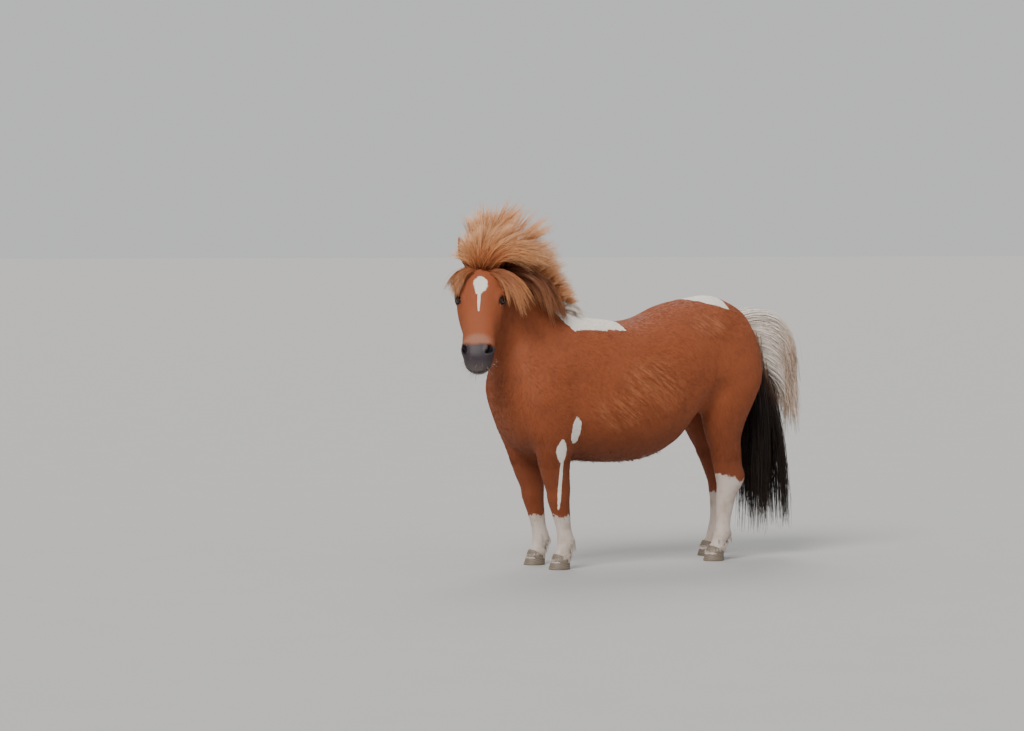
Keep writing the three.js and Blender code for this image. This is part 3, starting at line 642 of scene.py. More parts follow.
coat = {
    "chestnut": (0.270, 0.066, 0.020), "deep": (0.110, 0.022, 0.006), "ruffled": (0.520, 0.205, 0.090),
    "face": (0.310, 0.078, 0.026), "white": (0.800, 0.760, 0.700), "sock": (0.560, 0.480, 0.430),
    "muzzle": (0.036, 0.026, 0.034), "lip": (0.130, 0.105, 0.100), "pale": (0.430, 0.300, 0.230),
    "rim": (0.030, 0.018, 0.016), "pink": (0.320, 0.150, 0.110),
    "star": [((104, 2, 0), (33, 29, 60)), ((122, -2, 0), (30, 17, 60)), ((160, -2, 0), (56, 6, 60))],
    "backPatches": [((186, -330, 528), (50, 22, 58)), ((172, -388, 455), (50, 24, 46)),
                    ((150, -380, 330), (46, 8, 130))],
    "ruffles": [((240, -20, 700), (110, 190, 150)), ((235, -170, 600), (90, 150, 100)),
                ((190, 270, 930), (110, 120, 70))],
}


def coatMaterial(name, furry):
    shader = Shader(name, Roughness=0.58, Sheen_Weight=0.04, Sheen_Roughness=0.4)
    surface = shader.surface
    surface.inputs["Specular IOR Level"].default_value = 0.35
    surface.inputs["Sheen Tint"].default_value = (1.0, 0.72, 0.5, 1)
    place = shader.position()
    x, y, z = shader.split(place)
    wobble = shader.noise(place, 0.035, 4.0, 0.6) - 0.5
    fine = shader.noise(place, 0.22, 2.0, 0.6) - 0.5
    lie = shader.vector("MULTIPLY", place, (0.9, 0.35, 0.16))  # streaks run down and back
    streaks = shader.noise(lie, 0.09, 4.0, 0.65)
    tone = shader.attribute("tone")
    dapple = shader.noise(place, 0.009, 3.0, 0.6)
    colour = shader.mix(coat["chestnut"], coat["deep"],
                        (streaks - 0.48).ramp(-0.02, 0.24) * 0.22 + (dapple - 0.5).ramp(0, 0.25) * 0.3)
    low = 1 - z.ramp(400, 640)  # painted shade: darker under the belly and low on the body, and down the legs, where the coat is also darker
    colour = shader.mix(colour, coat["deep"], low * 0.45)
    mirrored = shader.vector("MULTIPLY", place, (-1, 1, 1))
    ruffle = shader.blobs(place, coat["ruffles"]).most(shader.blobs(mirrored, coat["ruffles"]))
    fan = shader.node("ShaderNodeCombineXYZ", None,
                      [x * 0.3, y * 0.64 + z * 0.77, (y * 0.77 - z * 0.64) * 0.13])
    light = (ruffle + wobble * 0.5).ramp(0, 0.7) * shader.noise(fan, 0.1, 5.0, 0.7).ramp(0.36, 0.7)
    colour = shader.mix(colour, coat["ruffled"], light * 0.55)
    # Head colours, by place along, across and up from the forehead
    fromPoll = shader.vector("SUBTRACT", place, tuple(nose.origin))
    along, across, rise = (
        shader.vector("DOT_PRODUCT", fromPoll, tuple(way),
                      output="Value") for way in (headAlong, headSide, headUp)
    )
    inFace = shader.node("ShaderNodeCombineXYZ", None, [along, across, rise])
    face = shader.blob(inFace, (150, 0, -30), (230, 90, 90)).ramp(0, 0.4)
    colour = shader.mix(colour, coat["face"], face * 0.75)
    pale = shader.blob(inFace, (326, 0, -30), (34, 70, 60)) + fine * 0.5
    colour = shader.mix(colour, coat["pale"], pale.ramp(0, 0.6) * 0.32)
    star = shader.blobs(inFace, coat["star"])
    star = (star + wobble * 0.8 + fine * 0.35).ramp(0.0, 0.14) * rise.ramp(-40, -20)
    colour = shader.mix(colour, coat["white"], star)
    muzzle = (along + wobble * 22 + fine * 10 - rise * 0.12).ramp(338, 356)
    muzzle = muzzle * shader.blob(inFace, (400, 0, -64), (130, 95, 110)).ramp(0, 0.1)
    lips = shader.mix(coat["muzzle"], coat["lip"],
                      (0 - rise + wobble * 20).ramp(66, 82).most((along - 398).ramp(0, 36) * 0.7))
    lips = shader.mix(lips, coat["pink"], (shader.noise(place, 0.05, 2.0) - 0.66).ramp(0, 0.05) * 0.3)
    colour = shader.mix(colour, lips, muzzle)
    for side in (1, -1):
        centre = nose.point(eye["at"] + 1, side * eye["across"], eye["rise"])
        rim = shader.blob(place, tuple(centre), (27, 27, 27)) + fine * 0.3
        colour = shader.mix(colour, coat["rim"], rim.ramp(0.0, 0.16) * 0.9)
        # painted shade: the nostril wells are painted near black
        hole = shader.blob(place, tuple(nose.point(364, side * 47, -22)), (17, 17, 17))
        colour = shader.mix(colour, (0.006, 0.004, 0.005), hole.ramp(0.1, 0.45))
        # painted shade: darker inside the ear cups
        cup = shader.blob(place, tuple(ears[side][1].point(50, 0, 8)), (22, 22, 60))
        colour = shader.mix(colour, coat["deep"], cup.ramp(0.1, 0.6) * 0.8)
    # painted shade: a near-black line in the crease between the lips
    mouth = (rise + 70 + across * across * 0.0016 + (along - 424) * 0.05).maths("ABSOLUTE")
    line = (1 - mouth.ramp(1.5, 4.5)) * along.ramp(376, 386) * muzzle
    colour = shader.mix(colour, (0.008, 0.005, 0.005), line)
    # White markings of the body
    saddle = (z - (905 + (0 - y - 300).most(0) * 1.3)).least(0 - y - 78) / 30 + wobble * 0.9 + fine * 0.25
    croup = (z - 1017 + (y - 250) * 0.28).least(y - 240).least(388 - y) / 14 + wobble * 1.2
    tailHead = shader.blob(place, (0, 492, 960), (46, 60, 40)) + wobble * 0.5
    white = saddle.ramp(0, 0.12).most(croup.ramp(0, 0.3)).most(tailHead.ramp(0, 0.2))
    for centre, sizes in coat["backPatches"]:
        patch = shader.blob(place, centre, sizes) + wobble * 0.7 + fine * 0.2
        white = white.most(patch.ramp(0, 0.14))
    colour = shader.mix(colour, coat["white"], white)
    foreHeight = 196 + x.ramp(-1, 1) * 12
    hindHeight = 262 + x.ramp(-1, 1) * 66 + (395 - y) * 0.25
    isHind = y.ramp(-1, 1)
    sockTop = foreHeight + isHind * (hindHeight - foreHeight) + wobble * 90 + fine * 24
    sock = (sockTop - z).ramp(-4, 8)
    stain = shader.mix(coat["sock"], (0.36, 0.26, 0.19),
                       shader.noise(place, 0.02, 4.0).ramp(0.45, 0.75) * 0.6)
    colour = shader.mix(colour, stain, sock)
    grey = shader.node("ShaderNodeHueSaturation", None,
                       {"Color": colour, "Value": 1 + tone * 0.16 + fine * 0.14})
    shader.feed("Base Color", grey)
    wet = muzzle * 0.2
    shader.feed("Roughness", 0.64 - wet + fine * 0.1)
    if not furry:
        combed = shader.noise(shader.vector("MULTIPLY", place, (1.4, 0.8, 0.3)), 0.55, 4.0, 0.7)
        wrinkle = shader.noise(place, 0.3, 3.0)
        height = combed * (1 - muzzle) + wrinkle * muzzle
        shader.feed("Normal", shader.bump(height, 1.6, 0.6))
    return shader.material


hairColours = {
    "mane": [(0.0, (0.11, 0.026, 0.008)), (0.18, (0.25, 0.066, 0.021)), (0.45, (0.52, 0.185, 0.066)),
             (0.8, (0.76, 0.38, 0.17)), (1.0, (0.84, 0.50, 0.28))],
    "forelock": [(0.0, (0.14, 0.036, 0.011)), (0.3, (0.30, 0.088, 0.030)), (0.7, (0.50, 0.19, 0.075)),
                 (1.0, (0.70, 0.35, 0.17))],
    "under": [(0.0, (0.12, 0.034, 0.013)), (0.5, (0.25, 0.085, 0.034)), (1.0, (0.46, 0.20, 0.095))],
    "white": [(0.0, (0.82, 0.78, 0.72)), (0.6, (0.86, 0.80, 0.73)), (1.0, (0.80, 0.66, 0.54))],
    "tail": [(0.0, (0.80, 0.74, 0.68)), (0.5, (0.85, 0.77, 0.70)), (0.85, (0.66, 0.50, 0.39)),
             (1.0, (0.36, 0.22, 0.15))],
    "tailDark": [(0.0, (0.30, 0.17, 0.11)), (0.22, (0.060, 0.030, 0.020)), (0.4, (0.014, 0.008, 0.006)),
                 (1.0, (0.022, 0.011, 0.007))],
    "feather": [(0.0, (0.46, 0.38, 0.32)), (1.0, (0.66, 0.58, 0.50))],
    "whisker": [(0.0, (0.10, 0.07, 0.06)), (1.0, (0.50, 0.40, 0.33))],
    "lash": [(0.0, (0.010, 0.006, 0.005)), (1.0, (0.030, 0.018, 0.014))],
    "fringe": [(0.0, (0.12, 0.030, 0.010)), (1.0, (0.30, 0.11, 0.045))],
}


def hairMaterial(name):
    shader = Shader("hair_" + name, Roughness=0.42)
    shader.surface.inputs["Specular IOR Level"].default_value = 0.4
    share, tone = shader.attribute("share"), shader.attribute("tone")
    colour = shader.node("ShaderNodeValToRGB", {"stops": hairColours[name]}, {"Fac": share + tone * 0.22})
    streak = shader.noise(shader.position(), 0.05, 3.0) - 0.5
    value = 1.05 + tone * 0.5 + streak * 0.3
    shader.feed("Base Color", shader.node("ShaderNodeHueSaturation", None,
                                          {"Color": colour, "Value": value}))
    shader.feed("Roughness", 0.4 + tone * 0.15)
    return shader.material


# Short coat

def unwrap(p):  # one cell of a 3 by 3 sheet for each part, turned open round the part's own line
    forms = [body, neck, nose, *legs.values(), ears[1][0], ears[-1][0]]
    far = np.stack([form.distance(p) for form in forms])
    which = far.argmin(0)
    uv = np.zeros((len(p), 2))
    for i, form in enumerate(forms):
        mine = which == i
        at, across, rise = form.local(p[mine]).T
        shiftMid, riseMid = form.row(at)[:2]
        turned = np.arctan2(rise - riseMid, across - shiftMid) / (2 * math.pi) + 0.5
        lengthwise = np.clip((at - form.start + 30) / (form.end - form.start + 60), 0, 1)
        uv[mine, 0] = (i % 3 + 0.03 + 0.94 * turned) / 3
        uv[mine, 1] = (i // 3 + 0.03 + 0.94 * lengthwise) / 3
    return uv


fur = {
    "trunk": {"count": 94000, "length": 16, "width": 2.0, "lift": 0.075},
    "head": {"count": 30000, "length": 7.5, "width": 1.3, "lift": 0.1},
    "legs": {"count": 26000, "length": 9, "width": 1.5, "lift": 0.11},
    "patch": 0.0015,
}


def lieOfCoat(p):  # the way the hair points, before it is laid on the skin
    at, across, rise = nose.local(p).T
    y, z = p[:, 1], p[:, 2]
    onHead = 1 - smooth(0, 26, headShape(p))
    onNeck = (1 - smooth(0, 40, neck.distance(p))) * (1 - onHead)
    way = np.zeros_like(p) + np.array([0, 0.75, -0.62])
    for share, there in [  # rump, chest, legs and neck
        (smooth(150, 380, y), [0, 0.35, -1]), (smooth(-470, -580, y), [0, 0.2, -1]),
        (1 - smooth(430, 600, z), [0, 0.18, -1]), (onNeck, unit(-neckAlong * 0.75 - zWay * 0.6)),
    ]:
        way = way * (1 - share)[:, None] + np.array(there) * share[:, None]
    faceHair = headAlong + headSide * (np.sign(across) * np.clip(np.abs(across) / 60, 0, 1) * 0.5)[:, None]
    faceHair = faceHair - headUp * smooth(-40, -140, rise)[:, None] * 0.8
    way = way * (1 - onHead)[:, None] + faceHair * onHead[:, None]
    swirl = np.sin(triple(y / 61 + z / 83, z / 57 + y / 90, y / 47 - z / 71))
    return unit(way) + swirl * 0.28


def skinSamples(thing, count):  # points spread over the skin by area, with their normals
    mesh = thing.data
    mesh.calc_loop_triangles()
    co = np.empty(len(mesh.vertices) * 3, np.float32)
    mesh.vertices.foreach_get("co", co)
    co = co.reshape(-1, 3).astype(float) / mm - shift
    tris = np.empty(len(mesh.loop_triangles) * 3, np.int32)
    mesh.loop_triangles.foreach_get("vertices", tris)
    a, b, c = co[tris.reshape(-1, 3).T]
    cross = np.cross(b - a, c - a)
    area = np.linalg.norm(cross, axis=-1)
    pick = rng.choice(len(area), count, p=area / area.sum())
    s, t = rng.random((2, count))
    over = s + t > 1
    s[over], t[over] = 1 - s[over], 1 - t[over]
    points = a[pick] + (b - a)[pick] * s[:, None] + (c - a)[pick] * t[:, None]
    return points, unit(cross[pick])


def tufts(name, roots, normals, ways, length, width, lift, material, slotName):
    along = unit(ways - normals * dot(ways, normals)[:, None])
    count = len(roots)
    size = rng.uniform(0.7, 1.25, count)[:, None]
    across = np.cross(normals, along)
    base = roots - normals * 0.7
    height = (length * lift)[:, None] * size * rng.uniform(0.5, 1.3, (count, 1))
    tip = roots + along * length[:, None] * size + normals * height
    tip += across * length[:, None] * rng.normal(0, 0.16, (count, 1))
    half = width[:, None] / 2
    points = np.stack([base + across * half, base - across * half, base + normals * half * 0.6, tip], 1)
    index = np.arange(count)[:, None] * 4
    faces = np.concatenate([index + np.array(f) for f in ([0, 1, 3], [1, 2, 3], [2, 0, 3], [0, 2, 1])])
    corner = np.array([[-1, 0], [1, 0], [0, 0.4], [0, 1.0]]) * fur["patch"]
    uv = unwrap(roots)[:, None, :] + corner[None]
    tone = np.repeat(rng.uniform(-0.5, 0.5, count), 4)
    tone = tone + np.tile([0.05, 0.05, 0.1, 0.3], count)
    thing = meshObject(name, points.reshape(-1, 3), faces, uv.reshape(-1, 2), {"tone": tone}, False)
    return finishPiece(thing, material, slotName)


def makeCoat(skin, material):
    points, normals = skinSamples(skin, 420000)
    onHead = (headShape(points) < 14) & (nose.local(points)[:, 0] > -20)
    onEar = np.minimum(ears[1][0].distance(points), ears[-1][0].distance(points)) < 4
    onLeg = (points[:, 2] < 400) & (legShape(points) < 10)
    under = points[:, 2] < 50
    face = nose.local(points)
    bare = (face[:, 0] > 345) & onHead & (rng.random(len(points)) < 0.85)
    for side in (1, -1):
        bare |= np.linalg.norm(points - eyeFrame(side)[0], axis=-1) < 25
    keep = ~under & ~bare
    groups = {
        "head": (onHead | onEar) & keep, "legs": onLeg & ~onHead & ~onEar & keep,
        "trunk": ~onHead & ~onLeg & ~onEar & keep,
    }
    for name, mine in groups.items():
        sizes = fur[name]
        chosen = np.flatnonzero(mine)
        if len(chosen) > sizes["count"]:
            chosen = rng.choice(chosen, sizes["count"], replace=False)
        p, n = points[chosen], normals[chosen]
        ways = lieOfCoat(p)
        longer = np.ones(len(p))
        for centre, reach in coat["ruffles"]:
            mirrored = np.abs(p[:, 0])[:, None] * xWay + p * np.array([0, 1, 1])
            inside = 1 - np.linalg.norm((mirrored - np.array(centre)) / np.array(reach), axis=-1)
            longer += np.clip(inside, 0, 0.6) * 1.2
        if name == "trunk":
            longer += smooth(470, 410, p[:, 2]) * 0.5
        if name == "head":
            ear = onEar[chosen]
            ways[ear] = ears[1][0].along
            longer[ear] = 0.8
        lifts = sizes["lift"] * (1 + (longer - 1) * 0.8)
        pieces = 2 if name == "trunk" else 1
        for i, part in enumerate(np.array_split(np.argsort(p[:, 0], kind="stable"), pieces)):
            label = "coat_" + name + ("" if pieces == 1 else ["_right", "_left"][i])
            tufts(label, p[part], n[part], ways[part], sizes["length"] * longer[part],
                  sizes["width"] * (0.8 + 0.2 * longer[part]), lifts[part], material,
                  "socks" if name == "legs" else "coat")


# Long hair

def liftedClear(p, clear):
    for _ in range(3):
        short = clear - flesh(p)
        low = short > 0.5
        if low.any():
            p[low] += outward(flesh, p[low]) * short[low][:, None]
    return p


def grow(roots, first, last, length, sag=0.0, clear=5.0, rings=9, depth=14.0, turn=1.5):
    spine = []
    at = roots - outward(flesh, roots) * depth
    step = ((length + depth) / (rings - 1))[:, None]
    for i in range(rings):
        share = i / (rings - 1)
        if i > 1:
            at = liftedClear(at, clear)
        spine.append(at.copy())
        way = unit(first + (last - first) * min(share * turn, 1))
        way[:, 2] -= sag * share
        at = at + unit(way) * step
    return np.stack(spine, 1)


def directions(spine):
    way = np.gradient(spine, axis=1)
    return unit(way)


def strands(guides, each, spread, gather, width, facing, rings=7, wave=3.0, reach=(0.62, 1.0), stray=0.06):
    count = len(guides) * each
    guide = np.repeat(guides, each, 0)
    way = directions(guide)
    facing = np.broadcast_to(facing, (count, 3))[:, None, :]
    across = unit(np.cross(way, facing))
    out = np.cross(across, way)
    shares = np.linspace(0, 1, rings)
    total = rng.uniform(*reach, count)
    spot = shares[None] * total[:, None] * (guide.shape[1] - 1)
    low = np.minimum(spot.astype(int), guide.shape[1] - 2)
    part = (spot - low)[..., None]
    rows = np.arange(count)[:, None]

    def taken(v):
        return v[rows, low] * (1 - part) + v[rows, low + 1] * part
    centre, across, out = taken(guide), unit(taken(across)), unit(taken(out))
    angle, far = rng.uniform(0, 2 * math.pi, count), np.sqrt(rng.random(count)) * spread
    tight = 1 - gather * (shares * total[:, None]) ** 0.8
    loose = np.where(rng.random(count) < stray, 2.2, 1)[:, None]
    offsetA = (np.cos(angle) * far)[:, None] * tight * loose
    offsetB = (np.sin(angle) * far * 0.7)[:, None] * tight * loose
    beat, phase = rng.uniform(2, 5, count)[:, None], rng.uniform(0, 6.3, (2, count, 1))
    swing = wave * shares[None] * loose
    offsetA = offsetA + np.sin(shares * beat + phase[0]) * swing
    offsetB = offsetB + np.sin(shares * beat * 0.8 + phase[1]) * swing
    centre = centre + across * offsetA[..., None] + out * offsetB[..., None]
    thickness = width * rng.uniform(0.7, 1.3, count)[:, None] * (1 - 0.86 * shares[None] ** 1.6)
    return centre, across, out, thickness, shares


def hairPiece(name, batches, material, slotName, *nodes):
    allPoints, allFaces, allUv, share, tone = [], [], [], [], []
    start = 0
    for guides, options, clumpTone in batches:
        centre, across, out, thick, shares = strands(guides, **options)
        count, rings = centre.shape[:2]
        half = (thick / 2)[..., None]
        ring = np.stack([centre + across * half, centre - across * half, centre + out * half * 1.1], 2)
        allPoints.append(ring.reshape(-1, 3))
        index = np.arange(count)[:, None, None] * rings * 3 + np.arange(rings - 1)[None, :, None] * 3
        sides = []
        for j in range(3):
            k = (j + 1) % 3
            sides += [[j, k, k + 3], [j, k + 3, j + 3]]
        walls = (index[..., None] + np.array(sides)[None, None]).reshape(-1, 3)
        ends = np.arange(count)[:, None] * rings * 3
        caps = np.concatenate([ends + np.array([2, 1, 0]), ends + (rings - 1) * 3 + np.array([0, 1, 2])])
        allFaces.append(np.concatenate([walls, caps]) + start)
        start += ring.size // 3
        each = options["each"]
        jitter = rng.uniform(-0.006, 0.006, (count, 2))
        clump = np.arange(count) // each / max(count // each, 1)
        side = (np.arange(count) % each) / each
        uv = np.stack([0.02 + 0.95 * clump, 0.02 + 0.95 * side], -1) + jitter
        corner = np.stack([np.zeros(rings), np.linspace(0, 0.003, rings)], -1)
        corners = corner[:, None, :] + np.array([[0, 0], [0.003, 0], [0.0015, 0]])[None]
        allUv.append((uv[:, None, None, :] + corners[None]).reshape(-1, 2))
        share.append(np.broadcast_to(shares[None, :, None], (count, rings, 3)).ravel())
        mood = np.repeat(clumpTone, each) + rng.uniform(-0.32, 0.32, count)
        tone.append(np.repeat(mood, rings * 3))
    thing = meshObject(name, np.concatenate(allPoints), np.concatenate(allFaces),
                       np.clip(np.concatenate(allUv), 0, 1),
                       {"share": np.concatenate(share), "tone": np.concatenate(tone)})
    return finishPiece(thing, material, slotName, *nodes)


downWind, acrossWind = np.array([0.47, 0.88, 0]), np.array([0.88, -0.47, 0])


def blown(degrees, lean):
    angle = np.radians(degrees)[:, None]
    return unit(zWay * np.cos(angle) + downWind * np.sin(angle) + acrossWind * np.asarray(lean)[:, None])


crestAt = np.linspace(392, 84, 60)


def crestLine():  # top of the neck, poll to withers
    centres = neck.centre(crestAt)
    low, high = np.zeros(len(crestAt)), np.full(len(crestAt), 420.0)
    for _ in range(26):
        middle = (low + high) / 2
        inside = flesh(centres + neckUp * middle[:, None]) < 0
        low, high = np.where(inside, middle, low), np.where(inside, high, middle)
    return centres + neckUp * low[:, None]


def onCrest(share, line):
    spot = share * (len(line) - 1)
    return np.stack([np.interp(spot, np.arange(len(line)), line[:, c]) for c in range(3)], -1)


mane = {
    "crest": 150, "poll": 80, "crown": 130, "hangLeft": 46, "hangRight": 34,
    "each": 27, "width": 2.5, "spread": 13, "longest": 306, "shortest": 90,
    "pollLength": 192, "pollGrowth": 92, "crownLength": 122, "crownGrowth": 190,
    "hangLength": 345, "hangTaper": 255, "hangRightShare": 0.78,
}


def settleRoots(p):
    for _ in range(4):
        p = p - outward(flesh, p) * flesh(p)[:, None]
    return p


def uniform(low, high, count):
    return rng.uniform(low, high, count)


def moods(count):
    return rng.uniform(-0.25, 0.25, count)


def makeMane():
    line = crestLine()
    n = mane["crest"]
    share, lean = np.linspace(0, 1, n) ** 0.9, uniform(-1.7, 1.7, n)
    roots = settleRoots(onCrest(share, line) + xWay * (lean * 17)[:, None])
    slope = 43 + 36 * share ** 0.6 + uniform(-17, 13, n) - lean * 5
    last = blown(slope, lean * 0.17 + uniform(-0.14, 0.14, n))
    first = unit(blown(np.full(n, 8.0), lean * 0.3) * 0.75 + last * 0.25)
    length = (mane["longest"] + (mane["shortest"] - mane["longest"])
              * share ** 0.8) * uniform(0.78, 1.05, n)
    crestGuides = grow(roots, first, last, length, 0.16)
    m = mane["poll"]
    share = (np.arange(m) + 0.5) / m
    slope = -26 + 84 * share + uniform(-6, 6, m)
    roots = settleRoots(nose.point(-10 + uniform(-8, 6, m), uniform(-30, 30, m), uniform(-84, -44, m)))
    pollGuides = grow(roots, blown(slope * 0.3, np.zeros(m)), blown(slope, uniform(-0.3, 0.16, m)),
                      (mane["pollLength"] + mane["pollGrowth"] * share) * uniform(0.78, 1.06, m), 0.07)
    k = mane["crown"]
    share = (np.arange(k) + 0.5) / k
    slope = -72 + 188 * share ** 0.8 + uniform(-9, 9, k)
    roots = settleRoots(nose.point(2 + uniform(-14, 12, k), -20 + 46 * share + uniform(-14, 14, k),
                                   np.full(k, 4.0)))
    first = unit(headUp * 0.75 + blown(slope * 0.5, np.zeros(k)) * 0.7)
    lean = uniform(-0.25, 0.12, k) - 0.2 * share
    length = (mane["crownLength"] + mane["crownGrowth"] * share) * uniform(0.68, 1.04, k)
    crownGuides = grow(roots, first, blown(slope, lean), length, 0.12, 6.0)
    look = {"each": mane["each"], "spread": mane["spread"], "gather": 0.5, "width": mane["width"],
            "facing": acrossWind, "wave": 6.0}
    half = n // 2
    hairPiece("mane_front", [(crestGuides[:half], look, moods(half))], hairs["mane"], "mane", "mane")
    hairPiece("mane_back", [(crestGuides[half:], look, moods(n - half)),
                            (pollGuides, look, moods(m))], hairs["mane"], "mane")
    batches = []
    for side, count in ((1, mane["hangLeft"]), (-1, mane["hangRight"])):
        share = np.linspace(0.0, 0.66, count)
        roots = settleRoots(onCrest(share, line) + xWay * (side * uniform(22, 50, count))[:, None])
        length = (mane["hangLength"] - mane["hangTaper"] * share) * uniform(0.62, 1.04, count)
        length = length * (1 if side > 0 else mane["hangRightShare"])
        first = unit(np.tile([side * 0.68, 0.5, 0.22], (count, 1)) + rng.normal(0, 0.1, (count, 3)))
        last = unit(np.tile([side * 0.08, 0.38, -1], (count, 1)) + rng.normal(0, 0.08, (count, 3)))
        batches.append((grow(roots, first, last, length, 0.0, 4.0),
                        {**look, "facing": xWay}, moods(count)))
    hairPiece("mane_hanging", batches, hairs["under"], "mane")
    hairPiece("mane_crown", [(crownGuides, look, moods(k))], hairs["mane"], "mane")


tuft = {
    "guides": 26, "halfWidth": 44, "front": -356, "long": 80, "length": (64, 118),
    "look": {"each": 60, "spread": 11, "gather": 0.4, "width": 1.9, "facing": zWay, "wave": 3.0},
}


def makeTuft():
    count, half = tuft["guides"], tuft["halfWidth"]
    share = np.linspace(0, 1, count)
    roots = settleRoots(triple(uniform(-half, half, count), tuft["front"] + tuft["long"] * share, 1000.0))
    first = unit(triple(uniform(-0.2, 0.6, count), 0.6, 0.62))
    last = unit(np.tile([0.4, 0.9, -0.75], (count, 1)) + rng.normal(0, 0.12, (count, 3)))
    guides = grow(roots, first, last, uniform(*tuft["length"], count), 0.2, 3.0)
    hairPiece("withers_tuft", [(guides, tuft["look"], moods(count) * 0.5)], hairs["white"], "white_hair",
              "mane_tuft")


forelock = {
    "right": {"guides": 42, "length": (120, 178), "facing": (0.1, -0.5, 1)},
    "left": {"guides": 34, "length": (170, 265), "facing": (0.1, 0.7, 1)},
    "look": {"each": 30, "spread": 8, "gather": 0.45, "width": 2.0, "wave": 4.0},
}


def curtain(side):  # where each guide stands along its parting, and the look of that half
    half = forelock[side]
    share = (np.arange(half["guides"]) + 0.5) / half["guides"]
    return half, half["guides"], share, {**forelock["look"], "facing": inHead(*half["facing"])}


def makeForelock():
    half, count, share, look = curtain("right")
    roots = settleRoots(nose.point(2 + 20 * share, -2 - uniform(0, 22, count), np.full(count, 20.0)))
    first = unit(headAlong * (-0.15 + 0.5 * share)[:, None] - headSide + headUp
                 * (0.6 - 0.3 * share)[:, None])
    last = unit(headAlong * (0.9 + 0.5 * share)[:, None] + headSide * (-0.6 + 0.45 * share)[:, None])
    guides = grow(roots, first, last, uniform(*half["length"], count) - 15 * share, 0.1, 6.0)
    batches = [(guides, look, moods(count))]
    half, count, share, look = curtain("left")
    roots = settleRoots(nose.point(2 + 22 * share, 2 + uniform(0, 22, count), np.full(count, 20.0)))
    first = unit(headAlong * (0.35 * share)[:, None] + headSide + headUp * (0.45 - 0.2 * share)[:, None])
    last = unit(headAlong * (0.8 + 0.5 * share)[:, None] + headSide * (0.62 - 0.3 * share)[:, None]
                - headUp * 0.42)
    guides = grow(roots, first, last, uniform(*half["length"], count), 0.05, 5.0)
    batches.append((guides, look, moods(count)))
    hairPiece("forelock_hair", batches, hairs["forelock"], "mane", "forelock")


tail = {
    "root": np.array([0, 506, 946.0]), "end": 72, "white": 100, "dark": 96, "each": 27, "width": 3.0,
    "whiteLength": (290, 385), "innerShort": 150, "outerShort": 40, "dockThick": 27, "dockTip": 12,
}


def dockAt(share):
    share = np.maximum(np.asarray(share, float), 0)
    return tail["root"] + triple(0, 96 * np.sin(np.minimum(share, 1) * 1.5), -250 * share ** 1.4)


def makeTail():
    n = tail["white"]
    share, side = (np.arange(n) + 0.5) / n, np.sin(np.arange(n) * 2.4)
    roots = dockAt(0.85 * share) + triple(side * 14, 0, 8)
    first = unit(triple(side * 0.4, 0.8, 0.25 - 0.75 * share))
    last = unit(triple(side * 0.1 + 0.04 + uniform(-0.08, 0.08, n), 0.14 - 0.22 * share, -1))
    guides = grow(roots, first, last, uniform(*tail["whiteLength"], n) - 20 * share, 0.05, 4.0, depth=4.0)
    look = {"each": tail["each"], "spread": 15, "gather": 0.35, "width": tail["width"], "facing": xWay,
            "wave": 7.0}
    hairPiece("tail_white", [(guides, look, moods(n) * 0.5)], hairs["tail"], "tail", "tail")
    m = tail["dark"]
    share, side = (np.arange(m) + 0.5) / m, np.sin(np.arange(m) * 2.4)
    outer = share > 0.8
    roots = dockAt(0.35 + 0.6 * share) + triple(side * 19, uniform(-8, 8, m), 0)
    shorter = np.where(outer, uniform(0, tail["outerShort"], m), uniform(0, tail["innerShort"], m))
    length = roots[:, 2] - tail["end"] - shorter
    first = unit(triple(side * 0.2, np.where(outer, 0.3, 0.02), -1))
    last = unit(triple(side * 0.02, np.where(outer, 0.05, -0.03 + 0.05 * share), -1))
    guides = grow(roots, first, last, length, 0.0, 4.0, depth=2.0)
    look = {**look, "gather": 0.25, "reach": (0.7, 0.99), "wave": 6.0, "spread": 19}
    hairPiece("tail_dark", [(guides, look, moods(m) * 0.4)], hairs["tailDark"], "tail")
    shares = np.linspace(-0.1, 1, 14)
    line = dockAt(shares)
    line[0] -= np.array([0, 26, 0])
    rings, sides = len(line), 20
    way = unit(np.gradient(line, axis=0))
    upWay = np.cross(xWay, way)
    turn = np.linspace(0, 2 * math.pi, sides, endpoint=False)
    radius = np.linspace(tail["dockThick"], tail["dockTip"], rings)
    radius[-1] *= 0.3
    circle = np.cos(turn)[None, :, None] * xWay + np.sin(turn)[None, :, None] * upWay[:, None]
    points = line[:, None] + radius[:, None, None] * circle
    finishPiece(meshObject("dock", points.reshape(-1, 3), tubeFaces(rings, sides)), coatSkin, "tail")


def tubeFaces(rings, sides):
    faces = []
    for i in range(rings - 1):
        for j in range(sides):
            a, b = i * sides + j, i * sides + (j + 1) % sides
            faces.append([a, b, b + sides, a + sides])
    return np.array(faces)


fineHair = {"each": 1, "spread": 0.5, "gather": 0, "width": 0.8, "facing": zWay, "wave": 1.5, "rings": 5}
whisker = {
    "count": 110, "along": (372, 434), "across": (-44, 44), "chin": -112, "lip": -60, "chinShare": 0.7,
    "length": (18, 42),
}
lash = {"count": 40, "reach": 15, "inset": 0.5, "proud": 2, "length": 11, "droop": 3}


def whiskerGuides():
    count = whisker["count"]
    at, across = uniform(*whisker["along"], count), uniform(*whisker["across"], count)
    rise = np.where(rng.random(count) < whisker["chinShare"], whisker["chin"], whisker["lip"])
    roots = settleRoots(nose.point(at, across, rise))
    away = outward(flesh, roots)
    last = unit(away + headAlong * 0.5 - zWay * 0.2)
    return grow(roots, away, last, uniform(*whisker["length"], count), 0, 0, 5, 2.0)


